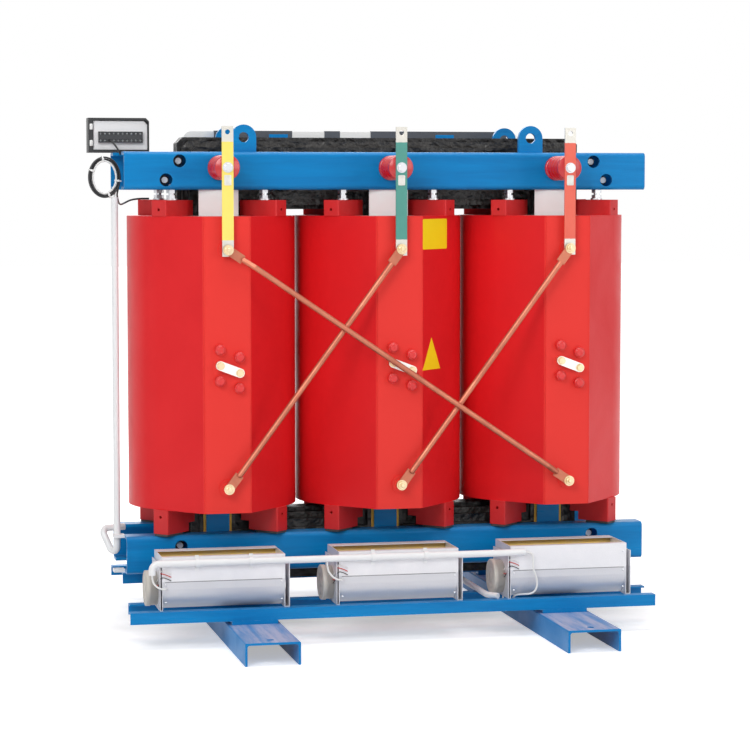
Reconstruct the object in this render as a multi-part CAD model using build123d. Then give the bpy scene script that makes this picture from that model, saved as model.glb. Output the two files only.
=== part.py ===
"""Dry type transformer, three cast-resin phases on a stepped core, air-cooled by cross-flow fans.

Frame: X runs along the phases (A at -X, C at +X), the high-voltage side is the front (-Y),
Z is up and the skids stand on the floor at Z 0. Millimetres.
"""
from build123d import *
import os
from math import acos, atan2, cos, hypot, pi, radians, sin, sqrt, tan

# %% Driving sizes ---------------------------------------------------------------------------
phase_pitch = 460.0                 # limb centre to limb centre
phases = {"a": -phase_pitch, "b": 0.0, "c": phase_pitch}

# Base: two channels under four feet
skid_gauge = 828.0                  # centre to centre
skid_width = 140.0
skid_height = 58.0
skid_wall = 6.0
skid_half_length = 678.0
anchor_bore = 18.0
anchor_inset = 38.0                 # bore centre from the channel's end
foot_height = 99.0
foot_width = 120.0
foot_plate = 8.0

# Clamp beams: channels with the web outside, flanges toward the core
clamp_height = 100.0
clamp_plate = 8.0
clamp_bend = 12.0                   # outer bend radius
clamp_half_length = 712.0
clamp_face_y = 157.0                # outer face of the web
access_bore = 34.0                  # holes in the web over the recessed bolt ends
upper_bolts = ((566.0, 76.0), (602.0, 26.0))    # x from centre, z above the beam's underside
lower_bolts = ((567.0, 70.0),)
lug_x = 393.0                       # lifting lugs on the upper beams
lug_half = 33.5
lug_thick = 12.0
lug_bore = 27.0
lug_bore_rise = 38.5                # bore centre above the beam

# Core: seven packets of laminations in a circle, mitred at the corners
core_radius = 102.0
packet_half_widths = (96.0, 85.0, 69.0, 48.0)
yoke_inset = 6.0                    # yoke centre line toward the window, from the beam's centre
corner_cut = 16.0                   # trimmed outer corners of the packets
tie_plate_width = 62.0
tie_plate_thick = 6.0
tie_sheet_width = 76.0
tie_sheet_thick = 2.0

# Coils
lv_inner_r = 112.0
lv_outer_r = 134.0
barrier_r = 141.0
barrier_wall = 3.0
hv_inner_r = 158.0
hv_outer_r = 226.0
coil_height = 774.0
panel_half = 61.0                   # flat tap panel on the front of the high-voltage coil
panel_y = 270.0
panel_groove = 1.6
barrier_tongue = 106.0              # width of the barrier's part that stands up to the beam

# Support blocks at 45 degrees, four under and four over each coil
block_width = 48.0
block_inner_r = 113.0
block_outer_r = 231.0
block_low_height = 64.0
block_high_height = 42.0
block_bore = 8.0
pad_height = 6.0                    # rubber pad under each lower block
press_gap = 27.0                    # upper block to upper beam, bridged by the press screws
press_x = 124.0                     # press screw from the limb centre

# High-voltage terminals
bar_width = 30.0
bar_thick = 5.0
bar_top = 1334.0
bar_bottom = 998.0
bar_back_y = 285.0                  # rear face of the terminal bars
top_stud_z = 1015.0                 # coil's upper terminal
low_stud_z = 393.0                  # coil's lower terminal
post_z = 1228.0
post_radius = 33.0
rod_diameter = 15.0
rod_palm = 5.0                      # thickness of the rods' flattened ends
palm_length = 46.0
rod_links = (("a", "c"), ("b", "a"), ("c", "b"))    # upper terminal of one phase, lower of another
rod_bow = {"a": 20.0, "b": 0.0, "c": 0.0}           # the long rod stands clear of the other two

# Tap field: two columns of three, right column lower
tap_x = (-20.0, 31.0)
tap_z = 715.0                       # middle tap of the left column
tap_step = 40.5
tap_drop = 19.5
plug_diameter = 28.0
plug_reach = 20.0                   # plugs stand this far off the panel
stud_diameter = 24.0
stud_reach = 12.0                   # metal tap studs off the panel
link_thick = 4.0
link_width = 24.0
link_bolt = 10.0

# Blank labels on phase B's right facet, from the panel's edge outward
label_gap = 2.0
label_size = (134.0, 80.0)
label_drop = 8.0                    # below the coil's top
triangle_side = 98.0
triangle_drop = 323.0
label_thick = 0.5

# Fan deck
rail_leg = 30.0
rail_plate = 4.0
rail_packer = 10.0
rail_outer_y = 416.0
rail_inner_y = 252.0
rail_length = 1399.0
front_rail_start = -735.0
rear_rail_start = -690.0
fan_shift = -32.0                   # fan centre from the limb centre
fan_length = 315.0                  # casing without its end brackets
fan_depth = 150.0
fan_height = 138.0
fan_sheet = 2.0
fan_lean = 9.0                      # fans stand this much nearer to the inner rail
impeller_radius = 42.0
impeller_z = 50.0                   # axis above the rails
impeller_y = -5.0                   # axis from the fan's middle, toward the front
blade_count = 18
shaft_diameter = 15.4
shaft_bore = 16.0
motor_radius = 46.0
motor_length = 30.0
motor_bracket = 8.0                 # end brackets off the casing's cheeks
end_bracket = 14.0

# Low-voltage side
lv_bar_width = 60.0
lv_bar_thick = 8.0
lv_standoff = 20.0                  # low-voltage bars off the rear beam's face
lv_palm = 96.0
lv_post_rise = 36.0                 # support post above the beam's underside
neutral_y = 200.0
neutral_height = 40.0
neutral_thick = 6.0
neutral_ends = (-504.0, 453.0)
neutral_rise = 61.0                 # top of the neutral bar above the rear beam
bracket_x = (-246.0, 228.0)
bracket_width = 52.0
bracket_lap = 70.0                  # bracket's part on the beam's face
bracket_thick = 6.0
bracket_post = 30.0                 # insulator between bracket and bar
lv_post_diameter = 40.0
sleeve_wall = 2.0
sleeves = ((-420.0, -200.0), (-108.0, -64.0), (24.0, 418.0))    # insulated lengths of the neutral bar

# Temperature controller
case_width = 165.0
case_height = 94.0
case_depth = 52.0
case_left = -777.0
case_front = 105.0
case_wall = 6.0
face_setback = 10.0

# Levels and faces that follow from the sizes above
foot_top = skid_height + foot_height
lower_clamp_top = foot_top + clamp_height
block_low_z = lower_clamp_top + pad_height
coil_bottom = block_low_z + block_low_height
coil_top = coil_bottom + coil_height
block_high_top = coil_top + block_high_height
upper_clamp_z = block_high_top + press_gap
upper_clamp_top = upper_clamp_z + clamp_height
lv_post_z = upper_clamp_z + lv_post_rise
neutral_top = upper_clamp_top + neutral_rise
lower_yoke_z = foot_top + clamp_height / 2 + yoke_inset
upper_yoke_z = upper_clamp_z + clamp_height / 2 - yoke_inset
packet_depths = [sqrt(core_radius**2 - w**2) for w in packet_half_widths]
core_half_depth = packet_depths[-1]
tie_sheet_y = core_half_depth + tie_sheet_thick
clamp_inner_y = tie_sheet_y + tie_plate_thick
press_y = (clamp_face_y + clamp_inner_y) / 2
rail_top = skid_height + rail_packer + rail_leg
bar_front_y = bar_back_y + bar_thick
fan_mid_y = (rail_outer_y + rail_inner_y) / 2 - fan_lean
fan_face_y = -fan_mid_y - fan_depth / 2

# Conduit and cord routes
conduit_diameter = 18.0
conduit_y = fan_face_y - conduit_diameter / 2
conduit_z = rail_top + 123.0
front_conduit = [(-678, conduit_y, conduit_z - 28), (-678, conduit_y, conduit_z), (306, conduit_y, conduit_z)]
cross_conduit = [(213, 280, rail_top + 8), (213, -372, rail_top + 8), (236, -398, rail_top + 8)]
side_conduit = [(-730, -90, 1151), (-730, -90, 176), (-768, -52, 268), (-704, -40, 270)]
coil_hank = (-756.0, -90.0, 1203.0)
hank_half = (44.0, 56.0)
hank_band = 15.0
hank_depth = 18.0
fan_gland_z = conduit_z - 65
leads = {
    "sensor_lead": ([(-722, -80, 1156), (-716, -50, 1138), (-706, -10, 1130), (-690, 34, 1134),
                     (-668, 74, 1143), (-640, 104, 1146), (-624, 118, 1146), (-612, 118, 1146)], 5.0),
    "controller_lead": ([(-720, 106, 1303), (-720, 90, 1303), (-712, 79, 1295), (-702, 76, 1281),
                         (-693, 81, 1266), (-693, 98, 1266)], 5.0),
    "fan_lead_a": ([(-678, conduit_y, conduit_z - 28), (-678, conduit_y, conduit_z - 44),
                    (-668, conduit_y - 5, conduit_z - 58), (-655, fan_face_y - 16, fan_gland_z + 1),
                    (-641, fan_face_y - 12, fan_gland_z), (-640, fan_face_y, fan_gland_z)], 5.0),
    "fan_lead_b": ([(-224, conduit_y, conduit_z - 9), (-224, conduit_y, conduit_z - 28),
                    (-214, conduit_y - 5, conduit_z - 44), (-199, fan_face_y - 16, conduit_z - 55),
                    (-183, fan_face_y - 12, conduit_z - 56), (-182, fan_face_y, conduit_z - 56)], 5.0),
    "fan_lead_c": ([(306, conduit_y, conduit_z), (326, conduit_y, conduit_z),
                    (328, conduit_y - 3, conduit_z - 21), (326, -414, conduit_z - 43),
                    (338, -414, conduit_z - 71), (337, -414, rail_top + 24), (322, -410, rail_top + 12),
                    (303, -396, rail_top + 10), (286, -374, rail_top + 5), (278, -367, rail_top - 18),
                    (271, -362, rail_top - 38), (268, -346, rail_top - 40), (268, -331, rail_top - 26),
                    (268, -331, rail_top)], 5.0),
}

nodes = {}


# %% Small helpers ---------------------------------------------------------------------------
def block(x0, x1, y0, y1, z0, z1):
    """Plain box given by its six faces."""
    size = Box(x1 - x0, y1 - y0, z1 - z0)
    return Pos((x0 + x1) / 2, (y0 + y1) / 2, (z0 + z1) / 2) * size


def rod(start, end, diameter):
    """Round bar between two points."""
    a = Vector(*start)
    axis = Vector(*end) - a
    return Plane(origin=a, z_dir=axis) * extrude(Circle(diameter / 2), axis.length)


def hexagon(start, direction, across, height):
    """Bolt head or nut that starts at a point and grows along a direction."""
    plane = Plane(origin=Vector(*start), z_dir=Vector(*direction))
    return plane * extrude(RegularPolygon(across / 2, 6, major_radius=False), height)


def ring(inner, outer, z0, z1):
    """Upright tube centred on the Z axis."""
    return Pos(0, 0, z0) * extrude(Circle(outer) - Circle(inner), z1 - z0)


def solid_xz(points, y0, y1):
    """Prism with an outline in X and Z, from y0 to y1."""
    face = make_face(Polyline(*points, close=True))
    plane = Plane(origin=(0, y1, 0), x_dir=(1, 0, 0), z_dir=(0, -1, 0))
    return plane * extrude(face, y1 - y0)


def solid_yz(sketch, x0, x1):
    """Prism with a sketch in Y and Z, from x0 to x1."""
    plane = Plane(origin=(x0, 0, 0), x_dir=(0, 1, 0), z_dir=(1, 0, 0))
    return plane * extrude(sketch, x1 - x0)


def mirrored_x(shape):
    return shape.mirror(Plane.YZ)


def mirrored_y(shape):
    return shape.mirror(Plane.XZ)


def add(name, *shapes):
    """Put every solid of the shapes into one node."""
    found = []
    for shape in shapes:
        found += shape.solids()
    nodes.setdefault(name, []).extend(found)


# %% Core ------------------------------------------------------------------------------------
def packet_outlines(half):
    """Outlines of one packet: outer limb (A), middle limb, upper yoke and lower yoke."""
    p = phase_pitch
    low, high = lower_yoke_z, upper_yoke_z
    cut = corner_cut
    limb = [(-p - half, low - half + cut), (-p - half, high + half - cut),
            (-p - half + cut / 2, high + half - cut / 2), (-p + half, high - half),
            (-p + half, low + half), (-p - half + cut / 2, low - half + cut / 2)]
    middle = [(-half, low + half), (-half, high - half), (0, high), (half, high - half),
              (half, low + half), (0, low)]
    upper = [(-p - half + cut / 2, high + half - cut / 2), (-p - half + cut, high + half),
             (p + half - cut, high + half), (p + half - cut / 2, high + half - cut / 2),
             (p - half, high - half), (half, high - half), (0, high), (-half, high - half),
             (-p + half, high - half)]
    lower = [(x, low + high - z) for x, z in upper]
    return limb, middle, upper, lower


def core_pieces():
    """Each limb and yoke is a stack of packets, widest in the middle of the stack."""
    stacks = [[], [], [], []]
    inner = 0.0
    for half, depth in zip(packet_half_widths, packet_depths):
        for stack, outline in zip(stacks, packet_outlines(half)):
            if inner == 0.0:
                stack.append(solid_xz(outline, -depth, depth))
            else:
                stack.append(solid_xz(outline, inner, depth))
                stack.append(solid_xz(outline, -depth, -inner))
        inner = depth
    limb, middle, upper, lower = [stack[0].fuse(*stack[1:]) for stack in stacks]
    add("core_limb_a", limb)
    add("core_limb_b", middle)
    add("core_limb_c", mirrored_x(limb))
    add("core_upper_yoke", upper)
    add("core_lower_yoke", lower)


def tie_plates():
    """Flat steel plates down the front and back of each limb, on yellow insulating sheet."""
    z0 = foot_top + clamp_plate + 2
    z1 = upper_clamp_top - clamp_plate - 2
    for x in phases.values():
        plate = block(x - tie_plate_width / 2, x + tie_plate_width / 2,
                      -clamp_inner_y, -tie_sheet_y, z0, z1)
        sheet = block(x - tie_sheet_width / 2, x + tie_sheet_width / 2,
                      -tie_sheet_y, -core_half_depth, z0, z1)
        add("limb_tie_plates", plate, mirrored_y(plate))
        add("tie_plate_insulation", sheet, mirrored_y(sheet))


def yoke_insulation():
    """Pressboard strips that fill the slot between yoke and beam, beside the tie plates."""
    height = packet_half_widths[-1] * 2 - 16
    gap = tie_sheet_width / 2 + 4
    for zc in (lower_yoke_z, upper_yoke_z):
        for x0, x1 in ((-phase_pitch + gap, -gap), (gap, phase_pitch - gap)):
            strip = block(x0, x1, -clamp_inner_y, -core_half_depth, zc - height / 2, zc + height / 2)
            add("yoke_insulation", strip, mirrored_y(strip))


# %% Clamp frame -----------------------------------------------------------------------------
def clamp_profile():
    """Channel section in Y and Z: web at -Y, flanges toward the core, rounded bends."""
    depth = clamp_face_y - clamp_inner_y
    outer = Rectangle(depth, clamp_height)
    outer = fillet(outer.vertices().group_by(Axis.X)[0], clamp_bend)
    hollow = Rectangle(depth - clamp_plate + 1, clamp_height - 2 * clamp_plate)
    hollow = fillet(hollow.vertices().group_by(Axis.X)[0], clamp_bend - clamp_plate)
    section = outer - Pos((clamp_plate + 1) / 2, 0) * hollow
    return Pos(-(clamp_face_y + clamp_inner_y) / 2, clamp_height / 2) * section


def clamp_beam(bolts):
    """One beam at the front, underside at Z 0, with end plates that take the tie bolts."""
    beam = solid_yz(clamp_profile(), -clamp_half_length, clamp_half_length)
    for x, z in bolts:
        for sx in (-x, x):
            hole = rod((sx, -clamp_face_y - 5, z), (sx, -clamp_face_y + clamp_plate + 5, z), access_bore)
            beam = beam - hole
    ends = [x for x, _ in bolts]
    left, right = min(ends) - 32, max(ends) + 32
    for side in (-1, 1):
        x0, x1 = sorted((side * left, side * right))
        plate = block(x0, x1, -clamp_inner_y - clamp_plate, -clamp_inner_y,
                      clamp_plate, clamp_height - clamp_plate)
        for x, z in bolts:
            plate = plate - rod((side * x, -clamp_inner_y - 20, z), (side * x, -clamp_inner_y + 5, z), 18)
        beam = beam + plate
    return beam


def press_holes():
    """Clearance bores for the press screws through the upper beam's lower flange."""
    cuts = []
    for x in phases.values():
        for sx in (-press_x, press_x):
            cuts.append(rod((x + sx, -press_y, -5), (x + sx, -press_y, clamp_plate + 5), 17))
    return cuts


def clamp_frame():
    upper = clamp_beam(upper_bolts).cut(*press_holes())
    upper = Pos(0, 0, upper_clamp_z) * upper
    lower = Pos(0, 0, foot_top) * clamp_beam(lower_bolts)
    add("upper_clamp_front", upper)
    add("upper_clamp_rear", mirrored_y(upper))
    add("lower_clamp_front", lower)
    add("lower_clamp_rear", mirrored_y(lower))


def tie_bolts():
    """Studs that pull the front and rear beams together past the core's ends."""
    seat = clamp_inner_y + clamp_plate
    for bolts, z0 in ((upper_bolts, upper_clamp_z), (lower_bolts, foot_top)):
        for x, z in bolts:
            for sx in (-x, x):
                stud = rod((sx, -seat - 24, z0 + z), (sx, seat + 24, z0 + z), 16)
                stud += hexagon((sx, -seat, z0 + z), (0, -1, 0), 24, 13)
                stud += hexagon((sx, seat, z0 + z), (0, 1, 0), 24, 13)
                add("clamp_tie_bolts", stud)


def lifting_lugs():
    """Round-topped plates welded on the upper beams."""
    z = upper_clamp_top
    profile = Pos(0, lug_bore_rise / 2) * Rectangle(2 * lug_half, lug_bore_rise)
    profile += Pos(0, lug_bore_rise) * Circle(lug_half)
    profile -= Pos(0, lug_bore_rise) * Circle(lug_bore / 2)
    profile &= Pos(0, 60) * Rectangle(200, 120)
    plane = Plane(origin=(0, -press_y, z), x_dir=(1, 0, 0), z_dir=(0, -1, 0))
    plate = plane * extrude(profile, lug_thick)
    for x in (-lug_x, lug_x):
        lug = Pos(x, 0, 0) * plate
        add("lifting_lugs", lug, mirrored_y(lug))


def skid(x):
    """Channel laid open side down, with a floor anchor bore near each end."""
    outer = Rectangle(skid_width, skid_height)
    inner = Pos(0, -skid_wall) * Rectangle(skid_width - 2 * skid_wall, skid_height)
    inner = fillet(inner.vertices().group_by(Axis.Y)[-1], 6)
    outer = fillet(outer.vertices().group_by(Axis.Y)[-1], 4)
    plane = Plane(origin=(x, skid_half_length, skid_height / 2), x_dir=(1, 0, 0), z_dir=(0, -1, 0))
    body = plane * extrude(outer - inner, 2 * skid_half_length)
    for y in (-1, 1):
        yc = y * (skid_half_length - anchor_inset)
        body -= rod((x, yc, 0), (x, yc, skid_height + 5), anchor_bore)
    return body


def foot(x):
    """Bent bracket between skid and lower front beam: a plate top and bottom, and two cheeks."""
    x0, x1 = x - foot_width / 2, x + foot_width / 2
    y0, y1 = -clamp_face_y, -clamp_inner_y
    shell = block(x0, x1, y0, y1, skid_height, foot_top)
    pocket = block(x0 + foot_plate, x1 - foot_plate, y0 - 1, y1 - foot_plate,
                   skid_height + foot_plate, foot_top - foot_plate)
    return shell - pocket


def base():
    for side, x in (("left", -skid_gauge / 2), ("right", skid_gauge / 2)):
        add("skid_" + side, skid(x))
        front = foot(x)
        add("frame_feet", front, mirrored_y(front))


# %% Coils -----------------------------------------------------------------------------------
def hv_outline():
    """Circle with a flat tap panel in front, joined by facets tangent to the circle."""
    reach = hypot(panel_half, panel_y)
    turn = atan2(panel_half, panel_y) + acos(hv_outer_r / reach)
    tx, ty = hv_outer_r * sin(turn), -hv_outer_r * cos(turn)
    back = ThreePointArc((tx, ty), (0, hv_outer_r), (-tx, ty))
    front = Polyline((-tx, ty), (-panel_half, -panel_y), (panel_half, -panel_y), (tx, ty))
    return make_face([back, front]), (tx, ty)


def hv_coil(x):
    """Cast winding: resin body, with a fine groove at each edge of the tap panel."""
    outline, _ = hv_outline()
    body = Pos(0, 0, coil_bottom) * extrude(outline - Circle(hv_inner_r), coil_height)
    for sx in (-1, 1):
        xc = sx * panel_half
        body -= block(xc - panel_groove, xc + panel_groove, -panel_y - 2, -panel_y + 2,
                      coil_bottom - 1, coil_top + 1)
    for z in (top_stud_z, low_stud_z):
        body += rod((0, -panel_y + 5, z), (0, -panel_y - 6, z), 44)
    return Pos(x, 0, 0) * body


def barrier(x):
    """Insulating cylinder between the windings, with a tongue up to the front beam."""
    tube = ring(barrier_r, barrier_r + barrier_wall, coil_bottom - 12, upper_clamp_z)
    high = coil_top - 2
    wide = 2 * barrier_r
    keep = block(-barrier_tongue / 2, barrier_tongue / 2, -wide, 0, high, upper_clamp_z)
    tube -= block(-wide, wide, -wide, wide, high, upper_clamp_z + 5) - keep
    for turn in (45, 135, 225, 315):
        foot_gap = Pos(barrier_r, 0, coil_bottom - 20) * Box(60, block_width + 4, 40)
        tube -= Rot(0, 0, turn) * foot_gap
    return Pos(x, 0, 0) * tube


def coils():
    for name, x in phases.items():
        add("hv_coil_" + name, hv_coil(x))
        add("lv_coils", Pos(x, 0, 0) * ring(lv_inner_r, lv_outer_r, coil_bottom, coil_top))
        add("barrier_tubes", barrier(x))


def support_block(height, notch):
    """Radial resin block from r block_inner_r to block_outer_r, base at Z 0, along +X."""
    length = block_outer_r - block_inner_r
    body = block(block_inner_r, block_outer_r, -block_width / 2, block_width / 2, 0, height)
    body = fillet(body.edges().filter_by(Axis.Z).group_by(Axis.X)[-1], 3)
    if notch:
        body -= block(block_inner_r - 1, block_inner_r + length * 0.22, -block_width, block_width, -1, notch)
    zc = height * 0.4 if not notch else height * 0.7
    return body - rod((block_outer_r + 1, 0, zc), (block_outer_r - 24, 0, zc), block_bore)


def support_blocks():
    """The lower blocks are notched over the yoke's shoulder."""
    notch = lower_yoke_z + packet_half_widths[2] + 4 - block_low_z
    low = support_block(block_low_height, notch)
    high = support_block(block_high_height, 0)
    pad = block(barrier_r + 20, block_outer_r - 2, -block_width / 2 + 3, block_width / 2 - 3, 0, pad_height)
    for x in phases.values():
        for turn in (45, 135, 225, 315):
            add("lower_support_blocks", Pos(x, 0, block_low_z) * Rot(0, 0, turn) * low)
            add("upper_support_blocks", Pos(x, 0, coil_top) * Rot(0, 0, turn) * high)
            add("block_pads", Pos(x, 0, lower_clamp_top) * Rot(0, 0, turn) * pad)


def press_screws():
    """Hex screws through the upper beams that press the blocks down on the coils."""
    for x in phases.values():
        for sx in (-press_x, press_x):
            px = x + sx
            low = block_high_top
            screw = rod((px, -press_y, low), (px, -press_y, upper_clamp_z + clamp_plate + 6), 16)
            screw += rod((px, -press_y, low), (px, -press_y, low + 4), 32)
            screw += hexagon((px, -press_y, low + 4), (0, 0, 1), 24, 9)
            screw += hexagon((px, -press_y, upper_clamp_z - 9), (0, 0, 1), 24, 9)
            add("press_screws", screw, mirrored_y(screw))


# %% High-voltage terminals ------------------------------------------------------------------
def post_insulator(x):
    """Ribbed resin post on the beam's face, carrying the terminal bar on its front end."""
    length = bar_back_y - clamp_face_y
    r = post_radius
    points = [(0, 0), (r, 0)]
    ribs = 5
    pitch = (length - 24) / ribs
    for i in range(ribs):
        s = 6 + i * pitch
        points += [(r, s), (r - 5, s + 4), (r - 5, s + pitch - 7), (r, s + pitch - 3)]
    points += [(r, length - 4), (r - 4, length), (0, length)]
    profile = make_face(Polyline(*points, close=True))
    body = revolve(Plane.XZ * profile, Axis.Z)
    return Pos(x, -clamp_face_y, post_z) * Rot(90, 0, 0) * body


def terminal_bar(x):
    """Flat bar from above the beam down to the coil's upper terminal."""
    bar = block(x - bar_width / 2, x + bar_width / 2, -bar_front_y, -bar_back_y, bar_bottom, bar_top)
    for z, bore in ((bar_top - 15, 13), (post_z, 13), (top_stud_z, 13)):
        bar -= rod((x, -bar_front_y - 1, z), (x, -bar_back_y + 1, z), bore)
    return bar


def face_bolt(x, y, z, size, head_y, back):
    """Hex-head bolt along Y, from depth back inside the piece to its head at head_y."""
    bolt = rod((x, y + back, z), (x, head_y, z), size)
    bolt += rod((x, head_y, z), (x, head_y - 2, z), size * 2.1)
    return bolt + hexagon((x, head_y - 2, z), (0, -1, 0), size * 1.55, size * 0.6)


def hv_terminals():
    for name, x in phases.items():
        add("post_insulators", post_insulator(x))
        add("terminal_bar_" + name, terminal_bar(x))
        add("hv_terminal_bolts", face_bolt(x, -bar_back_y, post_z, 12, -bar_front_y, 0))
        boss = -panel_y - 6
        seat_top = -bar_front_y - rod_palm
        add("hv_terminal_bolts", rod((x, boss, top_stud_z), (x, -bar_back_y, top_stud_z), 24))
        add("hv_terminal_bolts", face_bolt(x, -bar_front_y, top_stud_z, 12, seat_top, 0))
        add("hv_terminal_bolts", rod((x, boss, low_stud_z), (x, -bar_front_y, low_stud_z), 24))
        add("hv_terminal_bolts", face_bolt(x, -bar_front_y, low_stud_z, 12, seat_top, 0))


def delta_rod(top_name, low_name):
    """Round copper rod between a top and a bottom terminal, flattened to palms at both ends."""
    x0, x1 = phases[top_name], phases[low_name]
    run = hypot(x1 - x0, top_stud_z - low_stud_z)
    plane = Plane(origin=(x0, -bar_front_y - rod_palm / 2, top_stud_z),
                  x_dir=(x1 - x0, 0, low_stud_z - top_stud_z), z_dir=(0, -1, 0))
    bow = rod_bow[top_name]
    lead = palm_length + 34
    rise = rod_diameter / 2 - rod_palm / 2
    path = [(palm_length, 0, rise), (lead, 0, rise + bow),
            (run - lead, 0, rise + bow), (run - palm_length, 0, rise)]
    body = None
    for a, b in zip(path, path[1:]):
        piece = rod(a, b, rod_diameter) + Pos(*b) * Sphere(rod_diameter / 2)
        body = piece if body is None else body + piece
    for end, way in ((0, 1), (run, -1)):
        palm = Pos(end + way * palm_length / 2, 0) * Rectangle(palm_length, 24)
        palm += Pos(end, 0) * Circle(12)
        palm -= Pos(end, 0) * Circle(6.5)
        body += Pos(0, 0, -rod_palm / 2) * extrude(palm, rod_palm)
    return plane * body


def delta_rods():
    for top_name, low_name in rod_links:
        add("delta_rods", delta_rod(top_name, low_name))


# %% Taps and stickers -----------------------------------------------------------------------
def tap_field(x):
    """Six tap studs on the panel: four capped with plugs, the middle pair joined by a link."""
    left, right = x + tap_x[0], x + tap_x[1]
    mid_left = tap_z
    mid_right = tap_z - tap_drop
    face = -panel_y
    stud_end = face - stud_reach
    rim = face - 0.8 * plug_reach
    for column, middle in ((left, mid_left), (right, mid_right)):
        for z in (middle + tap_step, middle - tap_step):
            plug = rod((column, face, z), (column, rim, z), plug_diameter)
            plug += rod((column, rim, z), (column, face - plug_reach, z), 0.7 * plug_diameter)
            add("tap_plugs", plug)
        add("tap_studs", rod((column, face, middle), (column, stud_end, middle), stud_diameter))
        add("tap_studs", face_bolt(column, stud_end, middle, link_bolt, stud_end - link_thick, 0))
    length = hypot(right - left, mid_right - mid_left)
    plane = Plane(origin=(left, stud_end, mid_left), x_dir=(right - left, 0, mid_right - mid_left),
                  z_dir=(0, -1, 0))
    link = Pos(length / 2, 0) * SlotCenterToCenter(length, link_width)
    for end in (0, length):
        link -= Pos(end, 0) * Circle(0.55 * link_bolt)
    add("tap_links", plane * extrude(link, link_thick))


def coil_stickers():
    """Blank yellow labels on phase B's right facet: an oblong one and a triangle, point up."""
    _, (tx, ty) = hv_outline()
    along = Vector(tx - panel_half, ty + panel_y, 0).normalized()
    plane = Plane(origin=Vector(panel_half, -panel_y, 0), x_dir=along, z_dir=along.cross(Vector(0, 0, 1)))
    up = plane.y_dir.Z
    width, height = label_size
    oblong = Pos(label_gap + width / 2, up * (coil_top - label_drop - height / 2))
    oblong *= RectangleRounded(width, height, height / 20)
    side = triangle_side
    rise = side * sqrt(3) / 2
    foot = coil_top - triangle_drop - rise
    corners = [(label_gap, up * foot), (label_gap + side, up * foot),
               (label_gap + side / 2, up * (foot + rise))]
    triangle = make_face(Polyline(*corners, close=True))
    for shape in (oblong, triangle):
        add("coil_stickers", plane * extrude(shape, label_thick))


# %% Fan deck --------------------------------------------------------------------------------
def rail(x0, face_y, side):
    """Angle bar along X under the fans: top leg level, other leg down from the given face."""
    x1 = x0 + rail_length
    y0, y1 = sorted((face_y, face_y + side * rail_leg))
    leg = sorted((face_y, face_y + side * rail_plate))
    bar = block(x0, x1, y0, y1, rail_top - rail_plate, rail_top)
    bar += block(x0, x1, leg[0], leg[1], rail_top - rail_leg, rail_top)
    return bar


def fan_rails():
    packer_half = skid_width / 2 - 10
    for sign, start in ((-1, front_rail_start), (1, rear_rail_start)):
        outer = rail(start, sign * rail_outer_y, -sign)
        inner = rail(start + 14, sign * rail_inner_y, sign)
        add("fan_rails", outer, inner)
        for x in (-skid_gauge / 2, skid_gauge / 2):
            for y0, y1 in ((rail_outer_y - rail_leg, rail_outer_y), (rail_inner_y, rail_inner_y + rail_leg)):
                ys = sorted((sign * y0, sign * y1))
                add("rail_packers", block(x - packer_half, x + packer_half, ys[0], ys[1],
                                          skid_height, rail_top - rail_leg))


def casing_section():
    """Bent sheet of the fan in Y and Z: front wall, curved belly and a rear wall over the inlet."""
    half, top, t = fan_depth / 2, fan_height, fan_sheet
    lip = 18.0
    bend = 55.0
    front = [(-half + lip, top - t), (-half + t, top - t), (-half + t, bend)]
    belly = ThreePointArc((-half + t, bend), (-half + 22, 16), (-half + 62, t))
    floor_end = half - 18
    outer_belly = ThreePointArc((-half + 62, 0), (-half + 20.5, 14.5), (-half, bend))
    outline = [Polyline(*front), belly, Polyline((-half + 62, t), (floor_end, t), (floor_end, 0),
                                                 (-half + 62, 0)),
               outer_belly, Polyline((-half, bend), (-half, top), (-half + lip, top), (-half + lip, top - t))]
    shell = make_face(outline)
    rear = Polyline((half - 34, top), (half, top), (half, top - 48), (half - t, top - 48),
                    (half - t, top - t), (half - 34, top - t), close=True)
    return shell, make_face(rear)


def fan_casing():
    """Casing of one fan, centred on X, on rails at Z 0, motor end at -X."""
    shell, rear = casing_section()
    x = fan_length / 2
    body = solid_yz(shell, -x, x) + solid_yz(rear, -x, x)
    half = fan_depth / 2
    for side, offset in ((-1, motor_bracket), (1, end_bracket)):
        x0, x1 = sorted((side * x, side * (x + fan_sheet)))
        cheek = block(x0, x1, -half, half, 0, fan_height)
        body += cheek - rod((x0 - 1, impeller_y, impeller_z), (x1 + 1, impeller_y, impeller_z), shaft_bore)
        tab = sorted((side * x, side * (x + offset)))
        body += block(*tab, -half, half, 0, fan_sheet)
        wall = sorted((side * (x + offset - fan_sheet), side * (x + offset)))
        upright = block(*wall, -half, half, 0, fan_height - 20)
        body += upright - rod((wall[0] - 1, impeller_y, impeller_z), (wall[1] + 1, impeller_y, impeller_z), 40)
    return body


def fan_guide():
    """Yellow deflector sheet that leads the air from the impeller up to the outlet slot."""
    half = fan_depth / 2
    y_end = half - fan_sheet
    z_end = fan_height - fan_sheet
    lower = (impeller_y + impeller_radius + 6, impeller_z + 4)
    arc_out = ThreePointArc(lower, (lower[0] + 8, 96), (y_end - 6, z_end))
    arc_in = ThreePointArc((y_end - 8, z_end), (lower[0] + 6, 97), (lower[0] - 2, lower[1]))
    profile = make_face([arc_out, Line((y_end - 6, z_end), (y_end - 8, z_end)), arc_in,
                         Line((lower[0] - 2, lower[1]), lower)])
    x = fan_length / 2
    return solid_yz(profile, -x, x)


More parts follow.
